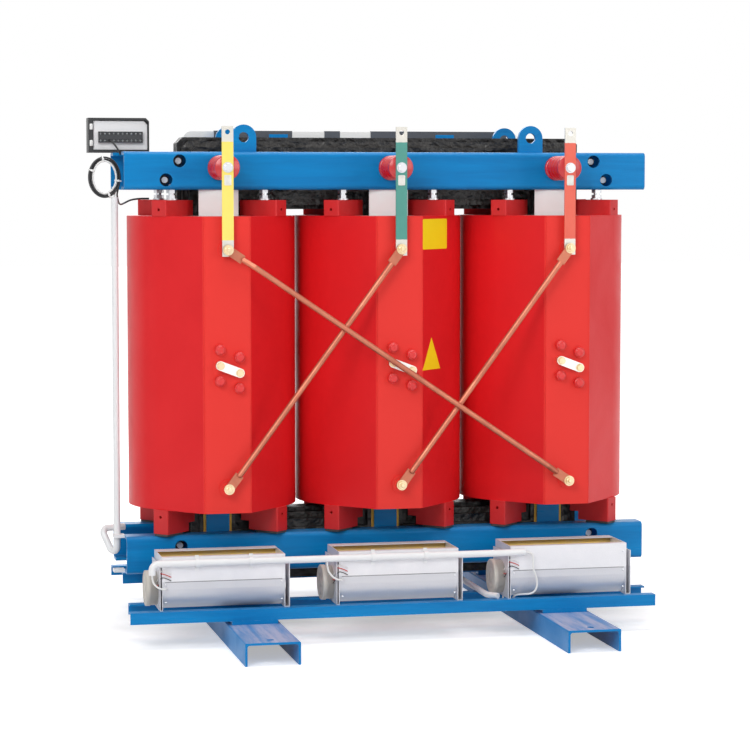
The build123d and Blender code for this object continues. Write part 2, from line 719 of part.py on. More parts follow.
def fan_motor():
    """Flat round motor on the bracket at the casing's left end, its hub seated on the cheek."""
    cheek = -fan_length / 2 - fan_sheet
    seat = -fan_length / 2 - motor_bracket
    c = (impeller_y, impeller_z)
    body = rod((cheek, *c), (seat, *c), 30)
    body += rod((seat, *c), (seat - motor_length, *c), 2 * motor_radius - 4)
    body += rod((seat - motor_length + 12, *c), (seat - motor_length, *c), 2 * motor_radius)
    return body


def impeller():
    """Drum of curved blades between rings, on a shaft along X."""
    r = impeller_radius
    x = fan_length / 2 - 6
    mid = r - 6.5
    blade = make_face(Polyline((r - 1, 0), (mid, -2.6), (r - 12, -2.0), (r - 12, -1.0), (mid, -1.4),
                               (r - 1, 1.2), close=True))
    drum = []
    for i in range(blade_count):
        drum.append(Rot(0, 0, i * 360 / blade_count) * extrude(blade, 2 * x))
    for z in (0, x - 1.5, 2 * x - 3):
        inner = 0.0 if z != x - 1.5 else r - 12
        disc = Circle(r) - Circle(inner) if inner else Circle(r)
        drum.append(Pos(0, 0, z) * extrude(disc, 3))
    reach = fan_length / 2 + fan_sheet
    drum.append(Pos(0, 0, x - reach + 0.3) * extrude(Circle(shaft_diameter / 2), 2 * reach))
    body = drum[0].fuse(*drum[1:])
    plane = Plane(origin=(-x, impeller_y, impeller_z), x_dir=(0, 1, 0), z_dir=(1, 0, 0))
    return plane * body


def fans():
    casing, guide, motor, drum = fan_casing(), fan_guide(), fan_motor(), impeller()
    for name, x in phases.items():
        front = Pos(x + fan_shift, -fan_mid_y, rail_top)
        rear = Pos(x - fan_shift, fan_mid_y, rail_top) * Rot(0, 0, 180)
        for end, place in (("front", front), ("rear", rear)):
            add("fan_casings", place * casing)
            add("fan_guides", place * guide)
            add("fan_motors", place * motor)
            add("fan_impeller_" + end + "_" + name, place * drum)


# %% Low-voltage side ------------------------------------------------------------------------
def lv_bar(x):
    """Flat bar from the low-voltage winding, out over the coil and up to a level terminal palm."""
    w = lv_bar_width / 2
    t = lv_bar_thick
    root = lv_outer_r - 7
    back = clamp_face_y + lv_standoff + t
    low = coil_top + 8
    high = upper_clamp_top - 30
    tip = back + lv_palm
    outline = [(root - t, coil_top), (root, coil_top), (root, low), (back, low), (back, high - t),
               (tip, high - t), (tip, high), (back - t, high), (back - t, low + t), (root - t, low + t)]
    bar = solid_yz(make_face(Polyline(*outline, close=True)), x - w, x + w)
    for y in (tip - 20, tip - 60):
        for dx in (-15, 15):
            bar -= rod((x + dx, y, high - t - 1), (x + dx, y, high + 1), 13)
    return bar


def lv_side():
    """Low-voltage bars and the neutral bar, held off the rear beam by short insulators."""
    for x in phases.values():
        add("lv_bars", lv_bar(x))
        post = rod((x, clamp_face_y, lv_post_z), (x, clamp_face_y + lv_standoff, lv_post_z), lv_post_diameter)
        add("neutral_insulation", post)
    x0, x1 = neutral_ends
    low = neutral_top - neutral_height
    bar = block(x0, x1, neutral_y, neutral_y + neutral_thick, low, neutral_top)
    add("neutral_bar", fillet(bar.edges().filter_by(Axis.Y), neutral_height / 2 - 1))
    t = sleeve_wall
    for s0, s1 in sleeves:
        shell = block(s0, s1, neutral_y - t, neutral_y + neutral_thick + t, low - t, neutral_top + t)
        shell -= block(s0 - 1, s1 + 1, neutral_y, neutral_y + neutral_thick, low, neutral_top)
        add("neutral_insulation", shell)
    for x in bracket_x:
        w = bracket_width / 2
        face = clamp_face_y + bracket_thick
        add("neutral_brackets", block(x - w, x + w, clamp_face_y, face, upper_clamp_top - bracket_lap,
                                      low + 0.8 * neutral_height))
        zc = low + 0.35 * neutral_height
        post = rod((x, face, zc), (x, neutral_y - t, zc), bracket_post)
        add("neutral_insulation", post)


# %% Temperature controller ------------------------------------------------------------------
def controller():
    """Black case standing on the rear beam's end, with a set-back grey front and a terminal strip."""
    x0, x1 = case_left, case_left + case_width
    z0, z1 = upper_clamp_top, upper_clamp_top + case_height
    y0, y1 = case_front, case_front + case_depth
    cut = 9.0
    outline = [(x0, z0), (x1, z0), (x1, z1 - cut), (x1 - cut, z1), (x0, z1)]
    case = solid_xz(outline, y0, y1)
    wall = case_wall
    inner = [(x0 + wall + 6, z0 + wall), (x1 - 2, z0 + wall), (x1 - 2, z1 - cut - 2),
             (x1 - cut - 2, z1 - wall), (x0 + wall + 6, z1 - wall)]
    case -= solid_xz(inner, y0 - 1, y0 + face_setback)
    add("controller_case", case)
    face_y = y0 + face_setback
    strip_x = (x0 + 27, x1 - 18)
    mid = z0 + 42
    strip = block(*strip_x, face_y - 14, face_y, mid - 15, mid + 15)
    count = 10
    pitch = (strip_x[1] - strip_x[0]) / count
    for i in range(count):
        xc = strip_x[0] + (i + 0.5) * pitch
        for z in (mid - 9, mid + 9):
            strip -= rod((xc, face_y - 15, z), (xc, face_y - 9, z), pitch * 0.62)
    add("controller_terminals", strip)


# %% Conduits and cords ----------------------------------------------------------------------
def tube_along(points, diameter, radii=None):
    """Round tube along straight runs joined by tangent arcs; returns the solid and its radii."""
    vectors = [Vector(*p) for p in points]
    if radii is None:
        radii = []
        for a, b, c in zip(vectors, vectors[1:], vectors[2:]):
            turn = radians((b - a).get_angle(c - b))
            radii.append(0.45 * min((b - a).length, (c - b).length) / tan(turn / 2))
    path = FilletPolyline(*points, radius=radii)
    start = Plane(origin=vectors[0], z_dir=vectors[1] - vectors[0])
    return sweep(start * Circle(diameter / 2), path), path, radii


def conduits():
    """White rigid conduit: along the front fans, across under the yoke, and up the left end."""
    front, _, _ = tube_along(front_conduit, conduit_diameter, [16])
    cross, _, _ = tube_along(cross_conduit, 16, [24])
    side, _, _ = tube_along(side_conduit, 18, [13, 14])
    add("conduits", front, cross, side)
    y = -fan_mid_y - fan_depth / 2
    z = front_conduit[1][2]
    for x in phases.values():
        for dx in (-70, 70):
            xc = x + fan_shift + dx
            if xc < front_conduit[-1][0]:
                r = conduit_diameter / 2
                saddle = rod((xc - 5, y - r, z), (xc + 5, y - r, z), conduit_diameter + 5)
                saddle += block(xc - 5, xc + 5, y - 2, y, z - r - 12, z + r + 10)
                saddle -= rod((xc - 6, y - r, z), (xc + 6, y - r, z), conduit_diameter)
                saddle &= block(xc - 6, xc + 6, y - 40, y, z - 40, z + 40)
                saddle -= block(xc - 6, xc + 6, y - 1, y + 1, z - 4.5, z + 4.5)
                add("conduits", saddle)
    sx, sy = side_conduit[0][:2]
    for z0, z1 in ((foot_top, foot_top + clamp_plate), (lower_clamp_top - clamp_plate, lower_clamp_top)):
        clip = block(sx - 11, -clamp_half_length, -clamp_inner_y - 14, sy + 11, z0, z1)
        add("conduits", clip - rod((sx, sy, z0 - 1), (sx, sy, z1 + 1), 18))


def cords():
    """Free leads as plain tubes, and the hank of spare sensor cable as its outer shape."""
    y = coil_hank[1]
    plane = Plane(origin=(coil_hank[0], y + hank_depth / 2, coil_hank[2]), x_dir=(1, 0, 0),
                  z_dir=(0, -1, 0))
    hank = Ellipse(hank_half[0], hank_half[1]) - Ellipse(hank_half[0] - hank_band, hank_half[1] - hank_band)
    add("cable_coil", plane * extrude(hank, hank_depth))
    for name, (points, diameter) in leads.items():
        tube, path, radii = tube_along(points, diameter)
        add(name, tube)
        share = tube.volume / (pi * diameter**2 / 4 * path.length)
        print(name, "length", round(path.length, 1), "radii", [round(r, 1) for r in radii],
              "volume over section times length", round(share, 3))


def build():
    core_pieces()
    tie_plates()
    yoke_insulation()
    clamp_frame()
    tie_bolts()
    lifting_lugs()
    base()
    coils()
    support_blocks()
    press_screws()
    hv_terminals()
    delta_rods()
    for x in phases.values():
        tap_field(x)
    coil_stickers()
    fan_rails()
    fans()
    lv_side()
    controller()
    conduits()
    cords()


def write_parts():
    os.makedirs("parts", exist_ok=True)
    for name, solids in nodes.items():
        export_step(Compound(children=solids), "parts/" + name + ".step")


build()
write_parts()
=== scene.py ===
# %% [markdown]
# # A cast-resin dry type transformer
# Three red resin coils stand between two pairs of blue steel beams that clamp a
# stepped iron core. The unit stands on two channel skids and carries cross-flow
# fans under the coils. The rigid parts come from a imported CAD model. Here they
# get their finishes, and the pieces that a CAD model draws plainly are made
# again as surfaces worked out with numpy.

# %% Load the CAD frame and keep its size
import math

import bpy
import numpy as np
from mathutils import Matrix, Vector


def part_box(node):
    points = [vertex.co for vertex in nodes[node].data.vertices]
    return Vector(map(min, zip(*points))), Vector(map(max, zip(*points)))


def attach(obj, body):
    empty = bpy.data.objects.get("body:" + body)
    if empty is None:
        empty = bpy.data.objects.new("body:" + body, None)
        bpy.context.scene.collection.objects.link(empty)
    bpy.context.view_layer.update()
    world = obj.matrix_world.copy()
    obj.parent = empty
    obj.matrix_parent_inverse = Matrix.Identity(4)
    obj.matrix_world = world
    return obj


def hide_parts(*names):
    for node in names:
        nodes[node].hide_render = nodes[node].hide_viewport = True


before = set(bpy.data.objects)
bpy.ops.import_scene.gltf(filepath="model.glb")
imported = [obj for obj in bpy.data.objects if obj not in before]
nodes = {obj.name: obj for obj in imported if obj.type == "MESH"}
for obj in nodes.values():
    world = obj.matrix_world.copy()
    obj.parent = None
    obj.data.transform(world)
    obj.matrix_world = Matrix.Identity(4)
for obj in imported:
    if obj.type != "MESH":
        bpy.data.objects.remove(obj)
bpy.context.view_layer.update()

# %% [markdown]
# ## Camera
# The unit is seen from the front, a little to its left and just above its middle,
# with a long lens, so that upright edges stay nearly parallel.

# %% Camera
camera_place = Vector((-1.4812, -6.6736, 1.1798))
camera_yaw = math.radians(12.453)       # turned from +Y toward +X
camera_dip = math.radians(4.327)
camera_data = bpy.data.cameras.new("camera")
camera_data.sensor_width = 36.0
camera_data.lens = 119.83
camera = bpy.data.objects.new("camera", camera_data)
camera.location = camera_place
looking = Vector((math.sin(camera_yaw) * math.cos(camera_dip),
                  math.cos(camera_yaw) * math.cos(camera_dip), -math.sin(camera_dip)))
camera.rotation_mode = "QUATERNION"
camera.rotation_quaternion = looking.to_track_quat("-Z", "Y")
bpy.context.scene.collection.objects.link(camera)
bpy.context.scene.camera = camera
print("camera looks along", [round(v, 3) for v in looking])

# %% [markdown]
# ## Cords
# The free leads are short cables between the rigid conduit, the fans and the
# controller. Each is one smooth NURBS spline with a round bevel. The order
# is set after the points are there, because Blender clamps it to the number of
# points that the spline has at that moment.

# %% The maker of cords
def cord_curve(name, points, diameter, sides=4):
    """One open NURBS spline of order 3 through the hull of `points`, with a round section."""
    curve = bpy.data.curves.new(name, "CURVE")
    curve.dimensions = "3D"
    curve.resolution_u = 8
    curve.bevel_depth = 1.0              # times each point's radius
    curve.bevel_resolution = sides
    curve.use_fill_caps = True
    spline = curve.splines.new("NURBS")
    spline.points.add(len(points) - 1)
    flat = np.column_stack([np.asarray(points, float), np.ones(len(points))])
    spline.points.foreach_set("co", flat.ravel())
    spline.points.foreach_set("radius", np.full(len(points), diameter / 2))
    spline.order_u = 3
    spline.use_endpoint_u = True
    spline.use_smooth = True
    cord = bpy.data.objects.new(name, curve)
    bpy.context.scene.collection.objects.link(cord)
    return cord


def cord_length(cord):
    """Length of the spline itself, read from the curve without its bevel."""
    bevel, cord.data.bevel_depth = cord.data.bevel_depth, 0
    line = bpy.data.meshes.new_from_object(cord)
    cord.data.bevel_depth = bevel
    places = np.empty(len(line.vertices) * 3)
    line.vertices.foreach_get("co", places)
    bpy.data.meshes.remove(line)
    return float(np.linalg.norm(np.diff(places.reshape(-1, 3), axis=0), axis=1).sum())


# %% [markdown]
# Five short leads lie between the conduit, the fans, the controller and the hank.
# Their points could be dropped by a cloth or rope simulation, but leads this short
# and stiff keep the bends that hands gave them, so the points are listed one by one.

# %% Leads between conduit, fans and controller
lead_width = 0.005
leads = {
    "sensor_lead": [(-.722, -.080, 1.156), (-.716, -.050, 1.138), (-.706, -.010, 1.130),
                    (-.690, .034, 1.134), (-.668, .074, 1.143), (-.640, .104, 1.146),
                    (-.624, .118, 1.146), (-.612, .118, 1.146)],
    "controller_lead": [(-.720, .106, 1.303), (-.720, .090, 1.303), (-.712, .079, 1.295),
                        (-.702, .076, 1.281), (-.693, .081, 1.266), (-.693, .098, 1.266)],
    "fan_lead_a": [(-.678, -.409, .193), (-.678, -.409, .177), (-.668, -.414, .163),
                   (-.655, -.416, .157), (-.641, -.412, .156), (-.640, -.400, .156)],
    "fan_lead_b": [(-.224, -.409, .212), (-.224, -.409, .193), (-.214, -.414, .177),
                   (-.199, -.416, .166), (-.183, -.412, .165), (-.182, -.400, .165)],
    "fan_lead_c": [(.306, -.409, .221), (.326, -.409, .221), (.328, -.412, .200),
                   (.326, -.414, .178), (.338, -.414, .150), (.337, -.414, .122),
                   (.322, -.410, .110), (.303, -.396, .108), (.286, -.374, .103),
                   (.278, -.367, .080), (.271, -.362, .060), (.268, -.346, .058),
                   (.268, -.331, .072), (.268, -.331, .098)],
}
cords = {}
for name, route in leads.items():
    cord = cord_curve(f"{name}_cord", route, lead_width)
    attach(cord, "transformer")
    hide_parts(name)
    cord_length(cord)
    cords[name] = cord
    print(name, "is", round(cord_length(cord) * 1000, 1), "mm long")

# %% [markdown]
# The spare sensor cable is wound into an oval hank that hangs at the end of the
# beam. A real hank fills its section slot by slot, so the spline runs through a
# grid of slots. It moves to the next slot in a short jog. Each jog comes a little
# before the last one, so that the turns never pass through one another.

# %% The hank of spare cable
hank_cable = 0.0045
hank_centre = np.array([-0.756, -0.090, 1.203])
hank_half = np.array([0.044, 0.056])
row_step, layer_step = 0.0056, 0.0050
first_inset = 0.0027                     # outermost turn's centre inside the hank's outline


def hank_slots(layers):
    """Three rows a layer, filled forth and back."""
    return [(row, layer) for count, layer in enumerate(layers)
            for row in ((-1, 0, 1) if count % 2 == 0 else (1, 0, -1))]


def hank_route(layers, start, points_per_turn=16, jog=0.22):
    """Angle runs on at a steady pace; row and layer are smooth steps of the angle."""
    slots, moves, at = hank_slots(layers), [], start + 1
    for (row, layer), (row_next, layer_next) in zip(slots, slots[1:]):
        changes = layer_next != layer
        at -= 0.25 if changes else 0
        moves.append((at, row_next - row, layer_next - layer))
        at += 0.75 if changes else 1
    end = at - 0.2
    turn = np.linspace(start, end, int((end - start) * points_per_turn))
    row, layer = np.full(len(turn), float(slots[0][0])), np.full(len(turn), float(slots[0][1]))
    for begin, row_move, layer_move in moves:
        share = np.clip((turn - begin) / jog, 0, 1)
        share = share * share * (3 - 2 * share)
        row += row_move * share
        layer += layer_move * share
    angle, inset = turn * math.tau, first_inset + layer * layer_step
    return np.column_stack([hank_centre[0] + (hank_half[0] - inset) * np.cos(angle),
                            hank_centre[1] + row * row_step,
                            hank_centre[2] + (hank_half[1] - inset) * np.sin(angle)])


black_turns = hank_route((0, 1), -0.14)
black_route = np.vstack([[(-.7220, -.0800, 1.1560), (-.7230, -.0880, 1.1590)], black_turns[1:]])
white_turns = hank_route((2,), -0.10)
white_route = np.vstack([[(-.7300, -.0900, 1.1520), (-.7290, -.0925, 1.1620)], white_turns[1:]])
hanks = {}
for name, route in (("black_sensor_cable", black_route), ("white_sensor_cable", white_route)):
    cord = cord_curve(name, route, hank_cable)
    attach(cord, "transformer")
    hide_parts("cable_coil")
    cord_length(cord)
    hanks[name] = cord
    print(name, "is", round(cord_length(cord), 2), "m long")

# %% [markdown]
# ## Finishes
# Every finish is a node tree. What several finishes share, such as mottling,
# dust, worn edges and the orange peel of sprayed paint, is a node group that is
# built once. A group gives out masks and heights only, and each material keeps
# its own Principled shader, so that the pattern can be baked for export.

# %% A short way to add shader nodes
def shader_node(tree, kind, feeds=None, **settings):
    """Adds a node, sets its properties, and links or sets the inputs named in `feeds`."""
    made = tree.nodes.new(kind)
    for key, value in settings.items():
        setattr(made, key, value)
    for key, value in (feeds or {}).items():
        if isinstance(value, bpy.types.NodeSocket):
            tree.links.new(value, made.inputs[key])
        else:
            made.inputs[key].default_value = value
    return made


def math_node(tree, operation, a, b=0.0, clamp=False):
    """The result of one arithmetic step on two numbers or sockets."""
    return shader_node(tree, "ShaderNodeMath", {0: a, 1: b}, operation=operation,
                       use_clamp=clamp).outputs[0]


def new_group(name, inputs, outputs):
    """An empty shader group; `inputs` maps a name to its default, a tuple being a vector."""
    group = bpy.data.node_groups.new(name, "ShaderNodeTree")
    for key, value in inputs.items():
        kind = "NodeSocketVector" if isinstance(value, tuple) else "NodeSocketFloat"
        socket = group.interface.new_socket(key, in_out="INPUT", socket_type=kind)
        socket.default_value = value
    for key in outputs:
        group.interface.new_socket(key, in_out="OUTPUT", socket_type="NodeSocketFloat")
    print("group", name, "takes", list(inputs), "and gives", list(outputs))
    return group, group.nodes.new("NodeGroupInput"), group.nodes.new("NodeGroupOutput")


# %% Mottle: soft patches between 0 and 1
mottle_group, given, out = new_group("Mottle", {"Vector": (0., 0., 0.), "Scale": 8.0}, ["Mask"])
noise = shader_node(mottle_group, "ShaderNodeTexNoise",
                    {"Vector": given.outputs["Vector"], "Scale": given.outputs["Scale"],
                     "Detail": 5.0, "Roughness": 0.62, "Distortion": 0.4})
spread = shader_node(mottle_group, "ShaderNodeMapRange", {0: noise.outputs[0], 1: 0.3, 2: 0.7})
mottle_group.links.new(spread.outputs[0], out.inputs["Mask"])

# %% Dust: settles on what faces up, in patches
dust_group, given, out = new_group("Dust", {"Vector": (0., 0., 0.), "Amount": 0.4}, ["Mask"])
facing = shader_node(dust_group, "ShaderNodeSeparateXYZ",
                     {0: shader_node(dust_group, "ShaderNodeTexCoord").outputs["Normal"]})
upward = shader_node(dust_group, "ShaderNodeMapRange", {0: facing.outputs["Z"], 1: 0.25, 2: 0.95})
patches = shader_node(dust_group, "ShaderNodeTexNoise",
                      {"Vector": given.outputs["Vector"], "Scale": 23.0, "Detail": 6.0,
                       "Roughness": 0.7})
patchy = shader_node(dust_group, "ShaderNodeMapRange", {0: patches.outputs[0], 1: 0.32, 2: 0.72})
dust_group.links.new(math_node(dust_group, "MULTIPLY", math_node(dust_group, "MULTIPLY",
                     upward.outputs[0], patchy.outputs[0]), given.outputs["Amount"]), out.inputs["Mask"])

# %% Worn edges: where the rounded normal leaves the flat one
wear_group, given, out = new_group("WornEdge", {"Vector": (0., 0., 0.), "Amount": 0.5}, ["Mask"])
flat_normal = shader_node(wear_group, "ShaderNodeNewGeometry").outputs["Normal"]
round_normal = shader_node(wear_group, "ShaderNodeBevel", {"Radius": 0.0012}, samples=4).outputs[0]
agreement = shader_node(wear_group, "ShaderNodeVectorMath", {0: flat_normal, 1: round_normal},
                     operation="DOT_PRODUCT").outputs["Value"]
edge = shader_node(wear_group, "ShaderNodeMapRange", {0: agreement, 1: 0.995, 2: 0.86})
chips = shader_node(wear_group, "ShaderNodeTexNoise", {"Vector": given.outputs["Vector"], "Scale": 60.0,
                    "Detail": 4.0, "Roughness": 0.65})
chipped = shader_node(wear_group, "ShaderNodeMapRange", {0: chips.outputs[0], 1: 0.48, 2: 0.62})
wear_group.links.new(math_node(wear_group, "MULTIPLY", math_node(wear_group, "MULTIPLY",
                     edge.outputs[0], chipped.outputs[0]), given.outputs["Amount"]), out.inputs["Mask"])

# %% Skin: the fine height of a sprayed, cast or rolled surface
skin_group, given, out = new_group("Skin", {"Vector": (0., 0., 0.), "Scale": 400.0, "Waves": 12.0,
                                            "Wave share": 0.3}, ["Height"])
fine = shader_node(skin_group, "ShaderNodeTexNoise", {"Vector": given.outputs["Vector"],
                   "Scale": given.outputs["Scale"], "Detail": 3.0, "Roughness": 0.5})
slow = shader_node(skin_group, "ShaderNodeTexNoise", {"Vector": given.outputs["Vector"],
                   "Scale": given.outputs["Waves"], "Detail": 2.0, "Roughness": 0.4})
skin_group.links.new(math_node(skin_group, "ADD", fine.outputs[0], math_node(
    skin_group, "MULTIPLY", slow.outputs[0], given.outputs["Wave share"])), out.inputs["Height"])

# %% [markdown]
# A finish starts from its colour and a second, slightly different colour that
# shows in patches. Dust, wear and skin go on top. Metals only change the plain
# metallic number. Stretching the coordinates first makes the grain run along a
# part, as rolling, drawing or brushing does.

# %% The maker of finishes
def base_finish(name, colour, patch_colour=None, *, rough=(0.4, 0.55), metallic=0.0, patch_scale=7.0,
                patch_share=0.5, dust=0.15, dust_colour=(0.62, 0.61, 0.58), wear=0.0,
                wear_colour=(0.3, 0.31, 0.33), skin=0.1, skin_scale=420.0, waves=12.0, wave_share=0.3,
                stretch=(1.0, 1.0, 1.0), coat=0.0, skin_depth=0.0006, specular=0.5):
    """Colour = base, then patches by the mottle mask, then wear, then dust, each mixed over the last.

    Roughness runs between the two ends of `rough` with the mottle, and dust roughens it further.
    Returns the material with handles to its tree, coordinates, last colour, shader and bump.
    """
    material = bpy.data.materials.new(name)
    material.use_nodes = True
    tree = material.node_tree
    tree.nodes.clear()
    place = shader_node(tree, "ShaderNodeTexCoord").outputs["Object"]
    grain = shader_node(tree, "ShaderNodeMapping", {"Vector": place, "Scale": stretch}).outputs[0]
    mottle = shader_node(tree, "ShaderNodeGroup", node_tree=mottle_group)
    tree.links.new(grain, mottle.inputs["Vector"])
    mottle.inputs["Scale"].default_value = patch_scale
    share = math_node(tree, "MULTIPLY", mottle.outputs["Mask"], patch_share)
    patch_colour = patch_colour or tuple(c * 0.82 for c in colour)
    shade = shader_node(tree, "ShaderNodeMix", {"Factor": share}, data_type="RGBA")
    shade.inputs[6].default_value, shade.inputs[7].default_value = (*colour, 1), (*patch_colour, 1)
    chain = shade.outputs[2]
    if wear:
        worn = shader_node(tree, "ShaderNodeGroup", {}, node_tree=wear_group)
        tree.links.new(place, worn.inputs["Vector"])
        worn.inputs["Amount"].default_value = wear
        chain = blend_colour(tree, chain, wear_colour, worn.outputs[0])
    dusty = shader_node(tree, "ShaderNodeGroup", {}, node_tree=dust_group)
    tree.links.new(place, dusty.inputs["Vector"])
    dusty.inputs["Amount"].default_value = dust
    chain = blend_colour(tree, chain, dust_colour, dusty.outputs[0])
    gloss = shader_node(tree, "ShaderNodeMapRange",
                        {0: mottle.outputs["Mask"], 3: rough[0], 4: rough[1]}).outputs[0]
    gloss = math_node(tree, "ADD", gloss, math_node(tree, "MULTIPLY", dusty.outputs[0], 0.5), clamp=True)
    surface = shader_node(tree, "ShaderNodeGroup", {}, node_tree=skin_group)
    tree.links.new(grain, surface.inputs["Vector"])
    surface.inputs["Scale"].default_value = skin_scale
    surface.inputs["Waves"].default_value = waves
    surface.inputs["Wave share"].default_value = wave_share
    bump = shader_node(tree, "ShaderNodeBump", {"Height": surface.outputs[0], "Strength": skin,
                       "Distance": skin_depth})
    shader = shader_node(tree, "ShaderNodeBsdfPrincipled", {"Base Color": chain, "Roughness": gloss,
                         "Normal": bump.outputs[0], "Metallic": metallic, "Coat Weight": coat,
                         "Coat Roughness": 0.12, "Specular IOR Level": specular})
    shader_node(tree, "ShaderNodeOutputMaterial", {"Surface": shader.outputs[0]})
    return {"material": material, "tree": tree, "place": place, "colour": chain, "shader": shader,
            "bump": bump}


# %% Colours and masks on a finish
def blend_colour(tree, under, over, mask):
    """Mixes `over`, a colour or a socket, onto `under` by `mask`."""
    mix = shader_node(tree, "ShaderNodeMix", {"Factor": mask}, data_type="RGBA")
    tree.links.new(under, mix.inputs[6])
    if isinstance(over, bpy.types.NodeSocket):
        tree.links.new(over, mix.inputs[7])
    else:
        mix.inputs[7].default_value = (*over, 1)
    return mix.outputs[2]


def recolour(finish, over, mask):
    """Puts another colour onto a finish by a mask and hands it to the shader."""
    finish["colour"] = blend_colour(finish["tree"], finish["colour"], over, mask)
    finish["tree"].links.new(finish["colour"], finish["shader"].inputs["Base Color"])


def axis_of(finish, axis):
    """Object coordinate along X, Y or Z."""
    return shader_node(finish["tree"], "ShaderNodeSeparateXYZ", {0: finish["place"]}).outputs[axis]


def step_mask(tree, value, start, end):
    """0 below start and 1 above end, or the other way round where end is the smaller."""
    return shader_node(tree, "ShaderNodeMapRange", {0: value, 1: start, 2: end}).outputs[0]


def extra_height(finish, height, depth, strength=1.0):
    """Adds a second bump under the skin's."""
    tree = finish["tree"]
    bump = shader_node(tree, "ShaderNodeBump", {"Height": height, "Strength": strength,
                                                "Distance": depth})
    tree.links.new(bump.outputs[0], finish["bump"].inputs["Normal"])


# %% Putting a finish on CAD nodes
def dress(finish, *names):
    """Gives CAD nodes a finish in every material slot."""
    for name in names:
        mesh = nodes[name].data
        if not mesh.materials:
            mesh.materials.append(None)
        for slot in range(len(mesh.materials)):
            mesh.materials[slot] = finish["material"]
    print(finish["material"].name, "on", ", ".join(names))


# %% [markdown]
# ### Blue paint
# The beams, feet and rails are sprayed with a bright blue gloss paint. The skids
# wear the same paint, but their tops are scuffed back to a greyish primer.

# %% Blue frame paint
frame_paint = base_finish("blue frame paint", (0.0, 0.235, 0.57), (0.0, 0.13, 0.38),
                          rough=(0.26, 0.44), dust=0.2, dust_colour=(0.25, 0.45, 0.66), wear=0.5,
                          wear_colour=(0.22, 0.42, 0.6), skin=0.35, skin_scale=300, wave_share=1.6,
                          waves=22, patch_share=0.7, patch_scale=6.0, stretch=(0.5, 1, 5.0),
                          specular=0.22)
dress(frame_paint, "upper_clamp_front", "upper_clamp_rear", "lower_clamp_front", "lower_clamp_rear",
      "lifting_lugs", "frame_feet", "fan_rails", "rail_packers", "neutral_brackets", "limb_tie_plates")

# %% Skid paint, bare on top
skid_paint = base_finish("skid paint", (0.0, 0.21, 0.54), (0.0, 0.14, 0.4), rough=(0.35, 0.5),
                         dust=0.1, wear=0.7, wear_colour=(0.4, 0.42, 0.5), skin=0.3, skin_scale=240,
                         wave_share=1.5, specular=0.25)
tree = skid_paint["tree"]
facing = shader_node(tree, "ShaderNodeTexCoord").outputs["Normal"]
up = shader_node(tree, "ShaderNodeSeparateXYZ", {0: facing})
upward = step_mask(tree, up.outputs["Z"], 0.8, 0.95)
streak_place = shader_node(tree, "ShaderNodeMapping",
                           {"Vector": skid_paint["place"], "Scale": (34, 3, 10)})
streaks = shader_node(tree, "ShaderNodeTexNoise", {"Vector": streak_place.outputs[0], "Scale": 1.0,
                      "Detail": 6.0, "Roughness": 0.7}).outputs[0]
rubbed = math_node(tree, "MULTIPLY", upward, step_mask(tree, streaks, 0.28, 0.55))
tone = shader_node(tree, "ShaderNodeMix", {"Factor": step_mask(tree, streaks, 0.4, 0.75)},
                   data_type="RGBA")
tone.inputs[6].default_value = (0.27, 0.33, 0.52, 1)
tone.inputs[7].default_value = (0.46, 0.48, 0.62, 1)
recolour(skid_paint, tone.outputs[2], rubbed)
dress(skid_paint, "skid_left", "skid_right")

# %% [markdown]
# ### Cast resin
# The high-voltage coils are cast under vacuum in a smooth mould and pigmented
# bright red. The flat tap panel in front is painted a lighter red, a painted
# highlight where it faces the lamps.

# %% Red resin
coil_resin = base_finish("red cast resin", (0.74, 0.014, 0.018), (0.62, 0.009, 0.013),
                         rough=(0.34, 0.5), dust=0.08, dust_colour=(0.75, 0.3, 0.28), skin=0.25,
                         skin_scale=90, waves=7, wave_share=2.4, skin_depth=0.0009, patch_scale=4.5,
                         patch_share=0.5, specular=0.22)
tree = coil_resin["tree"]
panel_edge, panel_face = -0.2655, -0.2685     # the tap panel's front, along Y
# painted highlight: the front of the tap panel gets a lighter red where it faces the lamps
near = step_mask(tree, axis_of(coil_resin, "Y"), panel_edge, panel_face)
recolour(coil_resin, (0.80, 0.045, 0.034), math_node(tree, "MULTIPLY", near, 0.8))
dress(coil_resin, "hv_coil_a", "hv_coil_b", "hv_coil_c")
block_resin = base_finish("red block resin", (0.62, 0.012, 0.014), (0.5, 0.008, 0.01),
                          rough=(0.42, 0.6), dust=0.3, dust_colour=(0.6, 0.3, 0.28), skin=0.3,
                          skin_scale=160, waves=30, wave_share=0.8)
dress(block_resin, "lower_support_blocks", "upper_support_blocks")
post_resin = base_finish("red post resin", (0.56, 0.006, 0.01), (0.42, 0.004, 0.008),
                         rough=(0.22, 0.34), dust=0.15, dust_colour=(0.6, 0.3, 0.28), skin=0.15,
                         skin_scale=200, coat=0.3)
dress(post_resin, "post_insulators")
plug_plastic = base_finish("red plug plastic", (0.75, 0.02, 0.02), (0.62, 0.012, 0.014),
                           rough=(0.25, 0.38), dust=0.1, dust_colour=(0.7, 0.4, 0.38), skin=0.1,
                           skin_scale=500, coat=0.25)
dress(plug_plastic, "tap_plugs")

# %% [markdown]
# ### Coil insides, core and insulation
# The low-voltage coils are wound from foil with resin-soaked cloth at the ends.
# The core is a stack of thin sheets under black varnish, so a fine wave along the
# stacking direction draws the sheet edges.

